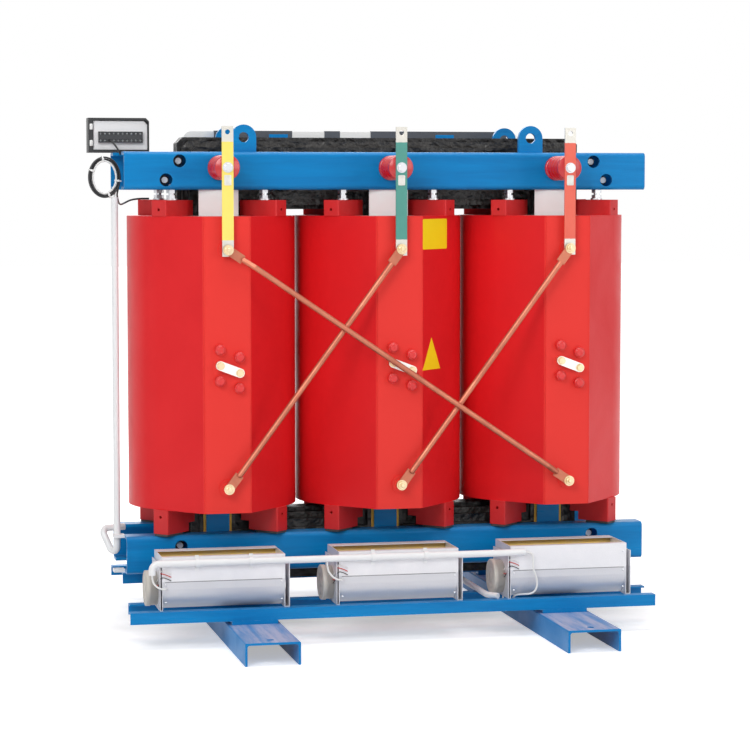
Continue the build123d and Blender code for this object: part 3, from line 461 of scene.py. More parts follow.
# %% Coil resin, barriers, pressboard and core
lv_resin = base_finish("foil coil resin", (0.72, 0.7, 0.64), (0.6, 0.56, 0.48), rough=(0.45, 0.6),
                       dust=0.2, skin=0.4, skin_scale=150)
dress(lv_resin, "lv_coils")
# painted light: the grey-white cloth is tinted cyan to cancel the red light that bounces onto it from the
# coils
barrier_cloth_bounce_offset = base_finish("white barrier cloth", (0.86, 0.96, 0.95), (0.76, 0.84, 0.83),
                            rough=(0.5, 0.62), dust=0.1, skin=0.3, skin_scale=600)
tree = barrier_cloth_bounce_offset["tree"]
threads = 260.0                          # bands of the wave, for the weave's threads
warp, weft = (shader_node(tree, "ShaderNodeTexWave", {"Vector": barrier_cloth_bounce_offset["place"], "Scale": threads},
                          bands_direction=way).outputs["Fac"] for way in "XZ")
extra_height(barrier_cloth_bounce_offset, math_node(tree, "ADD", warp, weft), 0.0002, 0.4)
dress(barrier_cloth_bounce_offset, "barrier_tubes")
pressboard = base_finish("pressboard", (0.20, 0.15, 0.10), (0.14, 0.10, 0.07), rough=(0.7, 0.85),
                         dust=0.25, skin=0.5, skin_scale=260, patch_scale=14)
dress(pressboard, "yoke_insulation")
core_varnish = base_finish("varnished core sheets", (0.006, 0.006, 0.007), (0.02, 0.017, 0.015),
                           rough=(0.25, 0.5), dust=0.25, dust_colour=(0.12, 0.10, 0.09), skin=1.0,
                           skin_scale=70, waves=34, wave_share=2.5, skin_depth=0.004,
                           patch_scale=30, specular=0.4)
tree = core_varnish["tree"]
sheets = shader_node(tree, "ShaderNodeTexWave", {"Vector": core_varnish["place"], "Scale": 120.0,
                     "Distortion": 1.2, "Detail": 2.0}, bands_direction="Y").outputs["Fac"]
extra_height(core_varnish, sheets, 0.0008, 0.8)
sheet_edges = math_node(tree, "MULTIPLY", step_mask(tree, sheets, 0.8, 1.0), 0.5)
recolour(core_varnish, (0.05, 0.045, 0.04), sheet_edges)
dress(core_varnish, "core_limb_a", "core_limb_b", "core_limb_c", "core_upper_yoke", "core_lower_yoke")
yellow_sheet = base_finish("yellow insulation sheet", (0.82, 0.5, 0.05), (0.7, 0.38, 0.03),
                           rough=(0.4, 0.55), dust=0.15, skin=0.2, skin_scale=320, patch_scale=18)
dress(yellow_sheet, "tie_plate_insulation")
rubber = base_finish("pad rubber", (0.05, 0.05, 0.052), (0.09, 0.09, 0.09), rough=(0.65, 0.8),
                     dust=0.4, skin=0.4, skin_scale=500)
dress(rubber, "block_pads")

# %% [markdown]
# ### Metals
# Screws and bolts are zinc plated, terminal bolts are brass and the delta rods
# are bare copper that has started to tarnish.

# %% Zinc, brass, copper and tin
zinc = base_finish("zinc plated steel", (0.72, 0.73, 0.75), (0.55, 0.56, 0.6), rough=(0.24, 0.42),
                   metallic=1.0, dust=0.1, skin=0.2, skin_scale=600, patch_scale=60, wear=0.3)
dress(zinc, "press_screws")
thread_out = 0.009                       # bare thread past the nut
bolt_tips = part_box("clamp_tie_bolts")[1][1] - thread_out
# painted shade: the clamp tie bolts are coloured near-black for the shade of the access holes they sit
# in; only the bare thread tip keeps a bright steel colour
bolt_hole_shade = base_finish("bolts painted with hole shade", (0.016, 0.016, 0.018), (0.03, 0.03, 0.03),
                         rough=(0.4, 0.6), dust=0.05, skin=0.2, skin_scale=600)
tree = bolt_hole_shade["tree"]
bare_thread = step_mask(tree, math_node(tree, "ABSOLUTE", axis_of(bolt_hole_shade, "Y")), bolt_tips,
                        bolt_tips + 0.0004)
recolour(bolt_hole_shade, (0.9, 0.9, 0.92), bare_thread)
tree.links.new(math_node(tree, "MULTIPLY", bare_thread, 0.3), bolt_hole_shade["shader"].inputs["Metallic"])
dress(bolt_hole_shade, "clamp_tie_bolts")
brass = base_finish("brass bolts", (0.78, 0.64, 0.42), (0.66, 0.5, 0.28), rough=(0.25, 0.42),
                    metallic=1.0, dust=0.08, skin=0.2, skin_scale=500, patch_scale=50)
dress(brass, "hv_terminal_bolts", "tap_studs")
copper = base_finish("bare copper", (0.56, 0.19, 0.115), (0.36, 0.115, 0.07), rough=(0.34, 0.52),
                     metallic=0.75, dust=0.1, dust_colour=(0.5, 0.3, 0.24), skin=0.25,
                     skin_scale=350, patch_scale=12, patch_share=0.8)
dress(copper, "delta_rods")
tin = base_finish("tinned bar", (0.86, 0.85, 0.82), (0.74, 0.73, 0.71), rough=(0.28, 0.45),
                  metallic=0.75, dust=0.12, skin=0.3, skin_scale=260, patch_scale=20)
dress(tin, "lv_bars", "neutral_bar", "tap_links")

# %% [markdown]
# ### Phase colours
# Each terminal bar is copper with a coat of paint in its phase's colour. The ends
# stay bare and tinned, where the bolts have to make contact. Two materials on split
# faces would give a dead straight edge. A mask on the height, shifted by a little
# noise, gives the slightly ragged edge of a dipped coat.

# %% Terminal bars
bare_top, bare_bottom = 1.2935, 1.0405      # colour runs between these heights
paint_edge, ragged_reach = 0.0006, 0.002    # softness and waviness of the paint's edge


def phase_finish(name, colour, patch):
    """Paint between two heights; bare metal above and below, with a ragged edge."""
    finish = base_finish(name, colour, patch, rough=(0.35, 0.5), dust=0.08, skin=0.2,
                         skin_scale=350, patch_scale=16, coat=0.1)
    tree, height = finish["tree"], axis_of(finish, "Z")
    ragged = shader_node(tree, "ShaderNodeTexNoise",
                         {"Vector": finish["place"], "Scale": 180.0}).outputs[0]
    shift = math_node(tree, "MULTIPLY", math_node(tree, "SUBTRACT", ragged, 0.5), ragged_reach)
    height = math_node(tree, "ADD", height, shift)
    bare = math_node(tree, "ADD", step_mask(tree, height, bare_top, bare_top + paint_edge),
                     step_mask(tree, height, bare_bottom, bare_bottom - paint_edge), clamp=True)
    recolour(finish, (0.6, 0.58, 0.53), bare)
    tree.links.new(math_node(tree, "MULTIPLY", bare, 0.9), finish["shader"].inputs["Metallic"])
    return finish


dress(phase_finish("yellow phase paint", (0.98, 0.79, 0.17), (0.93, 0.70, 0.12)), "terminal_bar_a")
dress(phase_finish("green phase paint", (0.075, 0.30, 0.25), (0.06, 0.25, 0.21)), "terminal_bar_b")
dress(phase_finish("red phase paint", (0.80, 0.14, 0.09), (0.72, 0.10, 0.065)), "terminal_bar_c")

# %% [markdown]
# ### Fans, controller and cable
# The fan casings are thin zinc-plated sheet, with a pale even sheen. Motors are
# beige-grey plastic. The controller has a black frame round a grey front.

# %% Fan, controller and cable finishes
fan_sheet = base_finish("pale plated sheet", (0.80, 0.80, 0.83), (0.68, 0.69, 0.73),
                        rough=(0.30, 0.46), metallic=0.2, dust=0.12, skin=0.35, skin_scale=240,
                        patch_scale=16, wear=0.3, wear_colour=(0.4, 0.4, 0.42), waves=18,
                        wave_share=1.5, skin_depth=0.001)
tree = fan_sheet["tree"]
lap_height, lap_under = 0.174, 0.172     # below the lap the sheet curves under and looks greyer
# painted shade: the casing is coloured greyer below the lap, where the sheet curves under and faces away
# from the lamps
painted_underside_shade = step_mask(tree, axis_of(fan_sheet, "Z"), lap_height, lap_under)
recolour(fan_sheet, (0.55, 0.56, 0.60), math_node(tree, "MULTIPLY", painted_underside_shade, 0.7))
dress(fan_sheet, "fan_casings")
guide_sheet = base_finish("yellow passivated sheet", (0.90, 0.62, 0.16), (0.72, 0.56, 0.30),
                          rough=(0.28, 0.4), metallic=0.45, dust=0.1, skin=0.2, skin_scale=200,
                          patch_scale=25, patch_share=0.9)
dress(guide_sheet, "fan_guides")
motor_plastic = base_finish("motor plastic", (0.56, 0.53, 0.48), (0.44, 0.42, 0.38),
                            rough=(0.4, 0.55), dust=0.2, skin=0.3, skin_scale=400)
dress(motor_plastic, "fan_motors")
blade_metal = base_finish("impeller aluminium", (0.6, 0.61, 0.63), (0.46, 0.47, 0.5),
                          rough=(0.35, 0.5), metallic=1.0, dust=0.15, skin=0.2, skin_scale=300)
dress(blade_metal, *[name for name in nodes if name.startswith("fan_impeller")])
sleeve = base_finish("grey sleeve", (0.07, 0.075, 0.085), (0.11, 0.115, 0.125), rough=(0.5, 0.65),
                     dust=0.3, dust_colour=(0.3, 0.3, 0.3), skin=0.4, skin_scale=320)
dress(sleeve, "neutral_insulation")
controller_black = base_finish("black enclosure", (0.02, 0.021, 0.023), (0.034, 0.035, 0.038),
                               rough=(0.42, 0.55), dust=0.3, dust_colour=(0.25, 0.25, 0.25),
                               skin=0.5, skin_scale=700)
dress(controller_black, "controller_case")
terminal_plastic = base_finish("dark terminal plastic", (0.03, 0.032, 0.036), (0.06, 0.062, 0.07),
                               rough=(0.4, 0.55), dust=0.2, skin=0.2, skin_scale=500)
dress(terminal_plastic, "controller_terminals")
conduit_plastic = base_finish("white conduit", (0.82, 0.83, 0.84), (0.74, 0.75, 0.77),
                              rough=(0.3, 0.42), dust=0.2, skin=0.15, skin_scale=300, coat=0.15,
                              patch_scale=5)
dress(conduit_plastic, "conduits")
black_jacket = base_finish("black cable jacket", (0.014, 0.014, 0.016), (0.028, 0.028, 0.03),
                           rough=(0.36, 0.5), dust=0.15, dust_colour=(0.2, 0.2, 0.2), skin=0.2,
                           skin_scale=600)
white_jacket = base_finish("white cable jacket", (0.8, 0.8, 0.79), (0.7, 0.7, 0.69),
                           rough=(0.4, 0.52), dust=0.15, skin=0.2, skin_scale=600)
label_foil = base_finish("yellow label foil", (0.98, 0.78, 0.01), (0.94, 0.70, 0.01),
                         rough=(0.3, 0.4), dust=0.05, skin=0.1, skin_scale=200, patch_scale=30,
                         patch_share=0.3, coat=0.2)
dress(label_foil, "coil_stickers")
for name, cord in cords.items():
    jacket = white_jacket if name.startswith("fan_lead") else black_jacket
    cord.data.materials.append(jacket["material"])
hanks["black_sensor_cable"].data.materials.append(black_jacket["material"])
hanks["white_sensor_cable"].data.materials.append(white_jacket["material"])
print(len(bpy.data.materials), "materials")
undressed = [name for name, thing in nodes.items() if thing.data.materials and
             thing.data.materials[0] is not None and thing.data.materials[0].name.startswith("mat")]
print("nodes still in the packed look:", undressed)
# %% [markdown]
# ## Pieces made as surfaces
# A surface is a grid of points worked out at once from two parameters. Where the
# grid closes on itself or narrows to a pole, its points coincide, so they are
# welded afterwards and the collapsed sides are dropped.

# %% From grids to one welded mesh
def grid_faces(rows, columns, first=0):
    """Quads between the points of a rows by columns grid, numbered row by row."""
    corner = np.arange(rows * columns).reshape(rows, columns) + first
    return np.stack([corner[:-1, :-1], corner[:-1, 1:], corner[1:, 1:], corner[1:, :-1]], -1).reshape(-1,
                                                                                                      4)


def weld(points, quads):
    """Merges points nearer than a hundredth of a millimetre; returns points, quads and triangles."""
    keys, index = np.unique(np.round(points * 1e5).astype(int), axis=0, return_inverse=True)
    kept = np.zeros((len(keys), 3))
    kept[index.ravel()] = points
    quads = index.ravel()[quads]
    same = quads == np.roll(quads, -1, axis=1)
    whole = quads[same.sum(1) == 0]
    folded = quads[same.sum(1) == 1]
    keep = ~(folded == np.roll(folded, -1, axis=1))
    return kept, whole, folded[keep].reshape(-1, 3)


def make_piece(name, grids, finish, smooth=True, body="transformer"):
    """One object from a list of point grids of shape (rows, columns, 3), riding on a body.

    The points hold the place, and the object stays at the origin, as a CAD node does.
    """
    points, quads, first = [], [], 0
    for grid in grids:
        rows, columns = grid.shape[:2]
        points.append(grid.reshape(-1, 3))
        quads.append(grid_faces(rows, columns, first))
        first += rows * columns
    places, whole, triangles = weld(np.vstack(points), np.vstack(quads))
    mesh = bpy.data.meshes.new(name)
    mesh.from_pydata(places.tolist(), [], whole.tolist() + triangles.tolist())
    mesh.polygons.foreach_set("use_smooth", np.full(len(mesh.polygons), smooth))
    mesh.materials.append(finish["material"])
    mesh.update()
    piece = bpy.data.objects.new(name, mesh)
    bpy.context.scene.collection.objects.link(piece)
    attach(piece, body)
    print(name, len(mesh.polygons), "faces")
    return piece


# %% [markdown]
# Turned pieces, such as posts, plugs and screws, come from a profile of distances
# along an axis and radii. A screw modifier would do the same from an edge, but a
# grid leaves every ring open to change, for flutes or for a hexagon's flats.

# %% Turned pieces
def turned(profile, place, axis, sides=32):
    """Profile rows (distance along the axis, radius) turned about an axis through `place`."""
    axis = np.array(axis, float) / np.linalg.norm(axis)
    side = np.cross(axis, (0, 0, 1) if abs(axis[2]) < 0.9 else (1, 0, 0))
    side /= np.linalg.norm(side)
    over = np.cross(axis, side)
    angle = np.linspace(0, math.tau, sides + 1)
    along, radius = np.asarray(profile, float).T
    ray = np.cos(angle)[:, None] * side + np.sin(angle)[:, None] * over
    return np.asarray(place) + along[None, :, None] * axis + radius[None, :, None] * ray[:, None, :]


# %% Hexagon heads
def hex_bolt(place, axis, across, height, washer=1.45, stud=0.0):
    """Washer, then a head whose radius is a hexagon's, cut back by a cone at its crown."""
    washer_thick, crown = 0.12 * across, 0.5 * across       # crown: half the width across flats
    flat = turned([(0, 0), (0, crown * washer), (washer_thick, crown * washer), (washer_thick, 0)],
                  place, axis, 28)
    axis = np.array(axis, float) / np.linalg.norm(axis)
    base = np.asarray(place) + axis * washer_thick
    angle = np.linspace(0, math.tau, 49)
    reach = crown / np.cos((angle + math.pi / 6) % (math.pi / 3) - math.pi / 6)
    rows = [(0, np.zeros(49)), (0, reach), (height * 0.84, reach),
            (height * 0.93, np.minimum(reach, crown * 1.09)),
            (height, np.minimum(reach, crown * 0.96)), (height, np.zeros(49))]
    unit = turned([(0, 1)], (0, 0, 0), axis, 48)[:, 0]
    head = np.stack([base + axis * rise + unit * radius[:, None] for rise, radius in rows], 1)
    grids = [flat, head]
    if stud:
        tip = base + axis * height
        grids.append(turned([(0, stud), (0.3 * across, stud), (0.3 * across + 0.001, stud - 0.001),
                             (0.3 * across + 0.001, 0)], tip, axis, 20))
    return grids


# %% Rounded plates
def rounded_plate(centre, right, up, half_width, half_height, corner, thick, bulge=0.0005):
    """Superellipse-like plate: a rounded outline, a soft rim and a flat face."""
    right, up = np.array(right, float), np.array(up, float)
    out = np.cross(right, up)
    turn = np.linspace(0, math.tau, 65) + math.tau / 128
    ex = (half_width - corner) * np.where(np.cos(turn) > 0, 1, -1) + corner * np.cos(turn)
    ez = (half_height - corner) * np.where(np.sin(turn) > 0, 1, -1) + corner * np.sin(turn)
    rows = [(0, 1.0), (thick - bulge, 1.0), (thick, None), (thick, 0.0)]
    grid = []
    for rise, scale in rows:
        if scale is None:
            sx, sz = (1 - bulge / half_width), (1 - bulge / half_height)
        else:
            sx = sz = scale
        ring = (ex * sx)[:, None] * right + (ez * sz)[:, None] * up
        grid.append(np.asarray(centre) + ring + rise * out)
    return np.stack(grid, 1)


# %% [markdown]
# ### Post insulators
# A cast post has round sheds, so that dust and damp can't draw one straight path
# along it. Its radius is a steady core plus a wave that is sharpened at the rims.

# %% Post insulators
phase_x = (-0.460, 0.0, 0.460)
post_low, post_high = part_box("post_insulators")
post_z = (post_low[2] + post_high[2]) / 2
post_length = post_high[1] - post_low[1]
post_radius = (post_high[2] - post_low[2]) / 2
sheds = 4


def post_profile():
    """Radius = collar at both ends, and between them core plus a raised cosine per shed."""
    t = np.linspace(0, 1, 120)
    wave = (0.5 - 0.5 * np.cos(t * math.tau * sheds)) ** 0.7
    radius = post_radius * (0.80 + 0.19 * wave)
    body = np.column_stack([0.012 + t * (post_length - 0.024), radius])
    rim = post_radius * 0.995
    start = [(0, 0), (0, rim - 0.0015), (0.0015, rim), (0.010, rim), (0.0115, rim - 0.0015)]
    end = [(post_length - 0.0115, rim - 0.0015), (post_length - 0.010, rim), (post_length - 0.0015, rim),
           (post_length, rim - 0.0015), (post_length, 0)]
    return np.vstack([start, body, end])


posts = make_piece("cast_posts", [turned(post_profile(), (x, post_high[1], post_z), (0, -1, 0), 48)
                                  for x in phase_x], post_resin)
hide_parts("post_insulators")

# %% [markdown]
# ### Tap plugs
# The unused taps are closed by screwed plugs with a knurled rim. The knurl is a
# small wave added to the radius around the rim, strongest at its middle.

# %% Tap plugs
tap_columns = ((-0.020, 0.715), (0.031, 0.6955))        # x from the phase, z of the link's stud
tap_step, panel_y, plug_radius = 0.0405, -0.270, 0.014
flutes, flute_depth = 24, 0.035                         # depth as a share of the radius


def knurled_plug(x, z):
    """Turned cap whose rim radius carries 24 shallow flutes."""
    rim = plug_radius
    profile = [(0, 0), (0, rim - 0.0008), (0.0008, rim), (0.0135, rim), (0.0155, 0.0125),
               (0.0158, 0.0102),
               (0.0190, 0.0098), (0.0200, 0.0086), (0.0196, 0.0040), (0.0188, 0.0)]
    grid = turned(profile, (x, panel_y, z), (0, -1, 0), 96)
    angle = np.linspace(0, math.tau, 97)
    flute = 1 - flute_depth * (0.5 + 0.5 * np.cos(flutes * angle))
    middle = np.array([x, 0, z])
    for row in (2, 3):
        ring = grid[:, row] - middle
        ring[:, [0, 2]] *= flute[:, None]
        grid[:, row] = ring + middle
    return grid


plugs = make_piece("knurled_plugs", [knurled_plug(x + dx, z + way * tap_step) for x in phase_x
                                     for dx, z in tap_columns for way in (-1, 1)], plug_plastic)
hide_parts("tap_plugs")

# %% [markdown]
# ### Terminal bolts
# Hexagon heads on plain washers: brass on the copper joints, zinc plated steel
# where a bar is only held by its post. A six-sided cylinder would lack the round
# chamfer of a real head. Here a hexagon's radius is cut back by a cone's at the
# crown, and the smaller of the two wins at each angle.

# %% Terminal bolts and their spacers
bar_front, bolt_across, head_height, stud_radius = -0.290, 0.019, 0.0078, 0.0055
palm_thick = 0.005                       # the rod's flattened end between bar and bolt
top_bolt_z, low_bolt_z = 1.015, 0.393
spacer_back, spacer_length, spacer_radius = -0.2755, 0.0145, 0.012
front = (0, -1, 0)
brass_grids, zinc_grids = [], []
for x in phase_x:
    for z in (top_bolt_z, low_bolt_z):
        brass_grids += hex_bolt((x, bar_front - palm_thick, z), front, bolt_across, head_height,
                                stud=stud_radius)
    spacer = [(0, 0), (0, spacer_radius), (spacer_length, spacer_radius), (spacer_length, 0)]
    brass_grids.append(turned(spacer, (x, spacer_back, low_bolt_z), front))
    zinc_grids += hex_bolt((x, bar_front, post_z), front, bolt_across, head_height)
brass_bolts = make_piece("brass_terminal_bolts", brass_grids, brass, smooth=False)
zinc_bolts = make_piece("zinc_post_bolts", zinc_grids, zinc, smooth=False)
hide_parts("hv_terminal_bolts")
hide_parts("hv_terminal_bolts")

# %% [markdown]
# ### Phase plates
# Each bar carries a small enamel plate below its post, to name its phase. It stays
# blank here. A stamped plate has round corners and a soft rim. Modelling a box and
# bevelling it would do as well, but one rounded outline, shrunk a little at the
# front, gives both in a single grid.

# %% Blank phase plates
plate_finish = base_finish("white enamel", (0.8, 0.79, 0.74), (0.72, 0.7, 0.64), rough=(0.25, 0.35),
                           dust=0.05, skin=0.1, skin_scale=300, coat=0.3, patch_scale=40)
plate_drop, plate_half, plate_corner, plate_thick = 0.033, (0.0095, 0.0135), 0.003, 0.001
plate_places = [(x, bar_front, post_z - plate_drop) for x in phase_x]
plate_grids = [rounded_plate(place, (1, 0, 0), (0, 0, 1), *plate_half, plate_corner, plate_thick)
               for place in plate_places]
make_piece("blank_phase_plates", plate_grids, plate_finish)

# %% [markdown]
# ### Hank ties
# Narrow white straps hold the turns together. A strap could be a torus squeezed to
# fit. Here it is a rounded loop round the hank's section, swept across its width,
# because the section's own half sizes then give a strap that hugs the cable.

# %% Ties on the hank
tie_plastic = base_finish("white tie plastic", (0.85, 0.85, 0.84), (0.78, 0.78, 0.77),
                          rough=(0.3, 0.4), dust=0.05, skin=0.1, skin_scale=400)


band_half_out, band_half_y = 0.0078, 0.0082      # half sizes of the hank's section
band_middle = hank_half - 0.0077                 # half sizes of the oval through that section


def tie_grid(turn, width=0.0035, wall=0.0011):
    """Loop round the band at one angle of the oval: outline of the section, offset by the wall."""
    angle = turn * math.tau
    middle = band_middle
    centre = np.array([hank_centre[0] + middle[0] * math.cos(angle), hank_centre[1],
                       hank_centre[2] + middle[1] * math.sin(angle)])
    outward = np.array([math.cos(angle) / middle[0], 0, math.sin(angle) / middle[1]])
    outward /= np.linalg.norm(outward)
    along = np.cross(outward, (0, 1, 0))
    t = np.linspace(0, math.tau, 41) + math.tau / 80
    half_out, half_y, corner = band_half_out + wall, band_half_y + wall, 0.004
    u = (half_out - corner) * np.where(np.cos(t) > 0, 1, -1) + corner * np.cos(t)
    v = (half_y - corner) * np.where(np.sin(t) > 0, 1, -1) + corner * np.sin(t)
    inner_u, inner_v = u * (1 - wall / half_out), v * (1 - wall / half_y)
    rows = [(u, v, -width), (u, v, width), (inner_u, inner_v, width), (inner_u, inner_v, -width),
            (u, v, -width)]
    return np.stack([centre + a[:, None] * outward + b[:, None] * np.array([0, 1.0, 0]) + w / 2 * along
                     for a, b, w in rows], 1)


def tie_lock(turn):
    """The little lock that stands off the front of a tie: a rounded plate, thick for its size."""
    angle = turn * math.tau
    place = np.array([hank_centre[0] + band_middle[0] * math.cos(angle), hank_centre[1] - 0.0085,
                      hank_centre[2] + band_middle[1] * math.sin(angle)])
    outward = np.array([math.cos(angle), 0, math.sin(angle)])
    return rounded_plate(place, outward, np.cross((0, -1, 0), outward), 0.0030, 0.0028, 0.001, 0.0035)


tie_turns = (0.27, 0.44, 0.97, 0.80)
tie_grids = [tie_grid(turn) for turn in tie_turns] + [tie_lock(turn) for turn in tie_turns]
make_piece("hank_ties", tie_grids, tie_plastic, smooth=False)

# %% [markdown]
# ### Controller front
# The case is a plain frame. Inside it sits a pale grey plate with one cut corner,
# and on the plate the terminal block with its rows of screws. The plate could be a
# cube with a vertex bevelled. An outline scaled about its centre from back to front
# makes the same form and keeps the cut corner's size as one number.

# %% Controller plate and screws
case_low, case_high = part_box("controller_case")
strip_low, strip_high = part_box("controller_terminals")
face_y = strip_high[1]
plate_grey = base_finish("grey front plate", (0.88, 0.88, 0.89), (0.80, 0.80, 0.81),
                         rough=(0.45, 0.6), dust=0.15, skin=0.4, skin_scale=700)
x0, x1, z0, z1 = case_low[0] + 0.014, case_high[0] - 0.004, case_low[2] + 0.008, case_high[2] - 0.008
cut = 0.010


def cut_corner_plate(y_back, y_front):
    """Outline with its top right corner cut off, lofted from back to front and closed in front."""
    outline = np.array([(x0, z0), (x1, z0), (x1, z1 - cut), (x1 - cut, z1), (x0, z1), (x0, z0)])
    centre = outline[:-1].mean(0)
    rows = [(y_back, 0.0), (y_back, 1.0), (y_front + 0.001, 1.0), (y_front, 0.985), (y_front, 0.0)]
    return np.stack([np.column_stack([centre[0] + (outline[:, 0] - centre[0]) * k, np.full(6, y),
                                      centre[1] + (outline[:, 1] - centre[1]) * k]) for y, k in rows],
                    0)[:, ::-1]


make_piece("controller_plate", [cut_corner_plate(face_y - 0.0002, face_y - 0.0030)], plate_grey,
                         smooth=False)
screw_count, screw_row, lead_x = 10, 0.009, -0.720       # no screw where the lead comes out
screw_x = strip_low[0] + (np.arange(screw_count) + 0.5) * (strip_high[0] - strip_low[0]) / screw_count
strip_mid = (strip_low[2] + strip_high[2]) / 2
screw_dome = [(0, 0), (0, 0.0032), (0.0012, 0.0030), (0.0016, 0.0)]
screw_places = [(x, strip_low[1] + 0.0048, strip_mid + dz)
                for x in screw_x for dz in (-screw_row, screw_row)
                if not (abs(x - lead_x) < 0.004 and dz < 0)]
make_piece("terminal_screws", [turned(screw_dome, place, (0, -1, 0), 12) for place in screw_places], zinc)
clip_places = [(case_low[0] + 0.0075, case_low[1], z) for z in (case_low[2] + 0.026,
                                                                case_high[2] - 0.024)]
clip_grids = [rounded_plate(place, (1, 0, 0), (0, 0, 1), 0.004, 0.008, 0.002, 0.003)
              for place in clip_places]
make_piece("case_clips", clip_grids, tie_plastic)

# %% [markdown]
# ### Fan details
# A fan's motor is a shallow round pot with pressed rings. All of it is round about
# the shaft, so a profile of distances and radii, turned once, is the shortest way.

# %% Motor pots
fan_shift, fan_half, fan_mid_y, fan_axis_z = 0.032, 0.1575, 0.325, 0.148
motor_back = fan_half + 0.008


def pot_profile():
    """Distance from the bracket against radius: a rim, a lip, pressed rings and a hub."""
    return [(0, 0), (0, 0.0438), (0.0175, 0.0438), (0.0180, 0.0458), (0.0285, 0.0458), (0.0300, 0.0440),
            (0.0300, 0.0400), (0.0286, 0.0385), (0.0284, 0.0310), (0.0297, 0.0295), (0.0297, 0.0240),
            (0.0284, 0.0225), (0.0282, 0.0130), (0.0300, 0.0112), (0.0300, 0.0)]


pot_radius = pot_profile()[1][1]


fans_at = [(x - fan_shift, -1) for x in phase_x] + [(x + fan_shift, 1) for x in phase_x]
pots = []
for x, side in fans_at:
    y = side * (fan_mid_y + 0.005)
    pots.append(turned(pot_profile(), (x + side * motor_back, y, fan_axis_z), (side, 0, 0), 64))
    pots.append(turned([(0, 0), (0, 0.0149), (0.006, 0.0149), (0.006, 0)],
                       (x + side * (fan_half + 0.002), y, fan_axis_z), (side, 0, 0), 32))
motors = make_piece("motor_pots", pots, motor_plastic)
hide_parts("fan_motors")

# %% [markdown]
# The casing is folded from two thin sheets that lap along its front. The lap is a
# step of less than a millimetre, so a strip of four points across is enough for
# it. The dome-headed screws beside it are turned from one short profile.

# %% Screws and seams of the casings
screw_grids, seam_grids = [], []
dome = [(0, 0), (0, 0.0030), (0.0008, 0.0028), (0.0016, 0.0017), (0.0019, 0.0)]
casing_half_depth, screw_reach, lap_z = 0.075, 0.150, 0.173
screw_heights = (0.120, 0.165, 0.215)
for x, side in fans_at:
    front = side * (fan_mid_y + casing_half_depth)
    for dx in (-screw_reach, screw_reach):
        for z in screw_heights:
            screw_grids.append(turned(dome, (x + dx, front, z), (0, side, 0), 10))
    t = np.array([0.0, 0.0007, 0.0014, 0.0021])
    lap = np.array([0.0, 0.0007, 0.0007, 0.0])
    ends = np.array([-0.152, 0.152])
    z = lap_z - t
    seam_grids.append(np.stack([np.stack([np.full(4, x + e), front + side * lap, z], 1) for e in
                                (ends if side < 0 else ends[::-1])], 0))
make_piece("casing_screws", screw_grids, zinc)
# painted shadow: the lap strip is coloured dark grey for the thin shadow that falls under the lap
seam_painted_shadow = base_finish("seam shade", (0.3, 0.3, 0.31), (0.2, 0.2, 0.21), rough=(0.5, 0.6),
                         dust=0.0, skin=0.1)
make_piece("casing_seams", seam_grids, seam_painted_shadow, smooth=False)

# %% [markdown]
# Thin wires in three colours run from each front motor to its casing. They are
# free cords too, only short ones, and they twist a little round each other.

# %% Motor wires
wire_width = 0.0022
red_wire = base_finish("red wire", (0.6, 0.02, 0.02), rough=(0.4, 0.5), dust=0.05, skin=0.1)
wire_kinds = ((black_jacket, 0.0, 1), (red_wire, 0.009, -1), (white_jacket, 0.018, 1))
for letter, x in zip("abc", phase_x):
    start_x = x - fan_shift - motor_back - 0.004
    for number, (tone, lift, swing) in enumerate(wire_kinds):
        z = fan_axis_z + 0.004 + lift
        y_in = -(fan_mid_y + 0.005) - math.sqrt(pot_radius ** 2 - (z - fan_axis_z) ** 2)
        route = [(start_x, y_in, z), (start_x, y_in - 0.006, z + 0.001),
                 (start_x + 0.004, y_in - 0.010, z + 0.006 * swing + 0.004),
                 (start_x + 0.008, -0.385, z + 0.020),
                 (start_x + 0.004, -0.397, z + 0.030 - 0.004 * swing),
                 (start_x + 0.010, -0.4045, z + 0.034), (start_x + 0.022, -0.4055, z + 0.030),
                 (start_x + 0.030, -0.4045, z + 0.026), (start_x + 0.033, -0.400, z + 0.024)]
        wire = cord_curve(f"motor_wire_{letter}{number}", route, wire_width, 3)
        wire.data.materials.append(tone["material"])
        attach(wire, "transformer")
        cord_length(wire)
        print(wire.name, "is", round(cord_length(wire) * 1000, 1), "mm long")

# %% [markdown]
# ## Floor and light
# A pale floor and large soft lamps show the object as in a plain studio.

# %% Rays that show the background
def background_rays(tree):
    """1 for camera, glossy and transmission rays, which see the background as white, else 0."""
    path = shader_node(tree, "ShaderNodeLightPath")
    mirrored = math_node(tree, "MAXIMUM", path.outputs["Is Glossy Ray"],
                         path.outputs["Is Transmission Ray"])
    return math_node(tree, "MAXIMUM", path.outputs["Is Camera Ray"], mirrored)


# %% [markdown]
# The floor is a plain grey-white diffuse plane, so that it takes a soft shadow. A
# glow that only the background rays see lifts it to white, weakly near the unit and
# fully farther out, where no shadow falls.

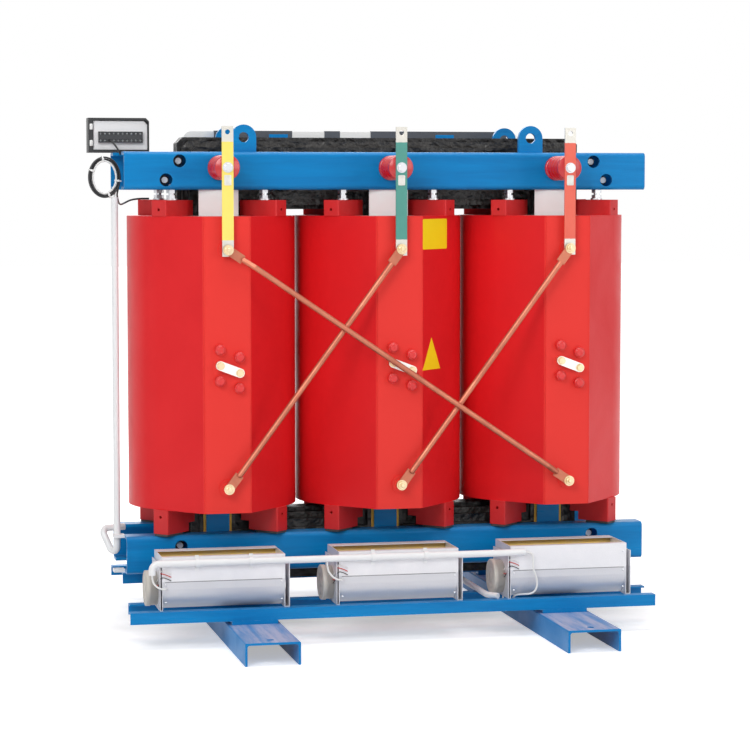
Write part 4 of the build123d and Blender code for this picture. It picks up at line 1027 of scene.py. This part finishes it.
# %% Floor
floor_mesh = bpy.data.meshes.new("floor")
reach = 30.0
corners = [(-reach, -reach, 0), (reach, -reach, 0), (reach, reach, 0), (-reach, reach, 0)]
floor_mesh.from_pydata(corners, [], [(0, 1, 2, 3)])
floor = bpy.data.objects.new("floor", floor_mesh)
bpy.context.scene.collection.objects.link(floor)
floor_material = bpy.data.materials.new("pale floor")
floor_material.use_nodes = True
tree = floor_material.node_tree
tree.nodes.clear()
plain = shader_node(tree, "ShaderNodeBsdfDiffuse", {"Color": (0.9, 0.9, 0.9, 1)})
floor_place = shader_node(tree, "ShaderNodeTexCoord").outputs["Object"]
from_unit = shader_node(tree, "ShaderNodeVectorMath", {0: floor_place},
                        operation="LENGTH").outputs["Value"]
glow_near, glow_far = (1.6, 0.42), (4.5, 1.0)            # distance, strength
more_glow = shader_node(tree, "ShaderNodeMapRange",
                        {0: from_unit, 1: glow_near[0], 2: glow_far[0],
                         3: glow_near[1], 4: glow_far[1]}).outputs[0]
glow = shader_node(tree, "ShaderNodeEmission", {"Color": (1, 1, 1, 1), "Strength": more_glow})
both = shader_node(tree, "ShaderNodeAddShader")
tree.links.new(plain.outputs[0], both.inputs[0])
tree.links.new(glow.outputs[0], both.inputs[1])
seen = background_rays(tree)
pick = shader_node(tree, "ShaderNodeMixShader", {0: seen})
tree.links.new(plain.outputs[0], pick.inputs[1])
tree.links.new(both.outputs[0], pick.inputs[2])
shader_node(tree, "ShaderNodeOutputMaterial", {"Surface": pick.outputs[0]})
floor_mesh.materials.append(floor_material)
print("floor reaches", reach, "m each way")

# %% World and lamps
world = bpy.data.worlds.new("studio")
bpy.context.scene.world = world
world.use_nodes = True
tree = world.node_tree
tree.nodes.clear()
seen = background_rays(tree)
dim = shader_node(tree, "ShaderNodeBackground", {"Color": (1, 1, 1, 1), "Strength": 0.34})
bright = shader_node(tree, "ShaderNodeBackground", {"Color": (1, 1, 1, 1), "Strength": 1.0})
pick = shader_node(tree, "ShaderNodeMixShader", {0: seen})
tree.links.new(dim.outputs[0], pick.inputs[1])
tree.links.new(bright.outputs[0], pick.inputs[2])
shader_node(tree, "ShaderNodeOutputWorld", {"Surface": pick.outputs[0]})


def soft_lamp(name, place, target, size, power):
    """A square area lamp that faces its target."""
    data = bpy.data.lights.new(name, "AREA")
    data.shape, data.size, data.energy = "SQUARE", size, power
    lamp = bpy.data.objects.new(name, data)
    lamp.location = place
    lamp.rotation_mode = "QUATERNION"
    lamp.rotation_quaternion = (Vector(target) - Vector(place)).to_track_quat("-Z", "Y")
    bpy.context.scene.collection.objects.link(lamp)
    print(name, power, "W at", place)


unit_middle = (0, 0, 0.7)
soft_lamp("key lamp", (-3.2, -4.6, 3.6), unit_middle, 2.6, 150)
soft_lamp("fill lamp", (3.8, -4.2, 2.2), unit_middle, 3.0, 70)
soft_lamp("top lamp", (0.0, -0.4, 4.4), unit_middle, 3.0, 80)
soft_lamp("back lamp", (0.5, 4.5, 3.0), unit_middle, 3.0, 90)
view_look = bpy.context.scene.view_settings
view_look.view_transform = "Standard"

# %% Last update of the view layer
bpy.context.view_layer.update()
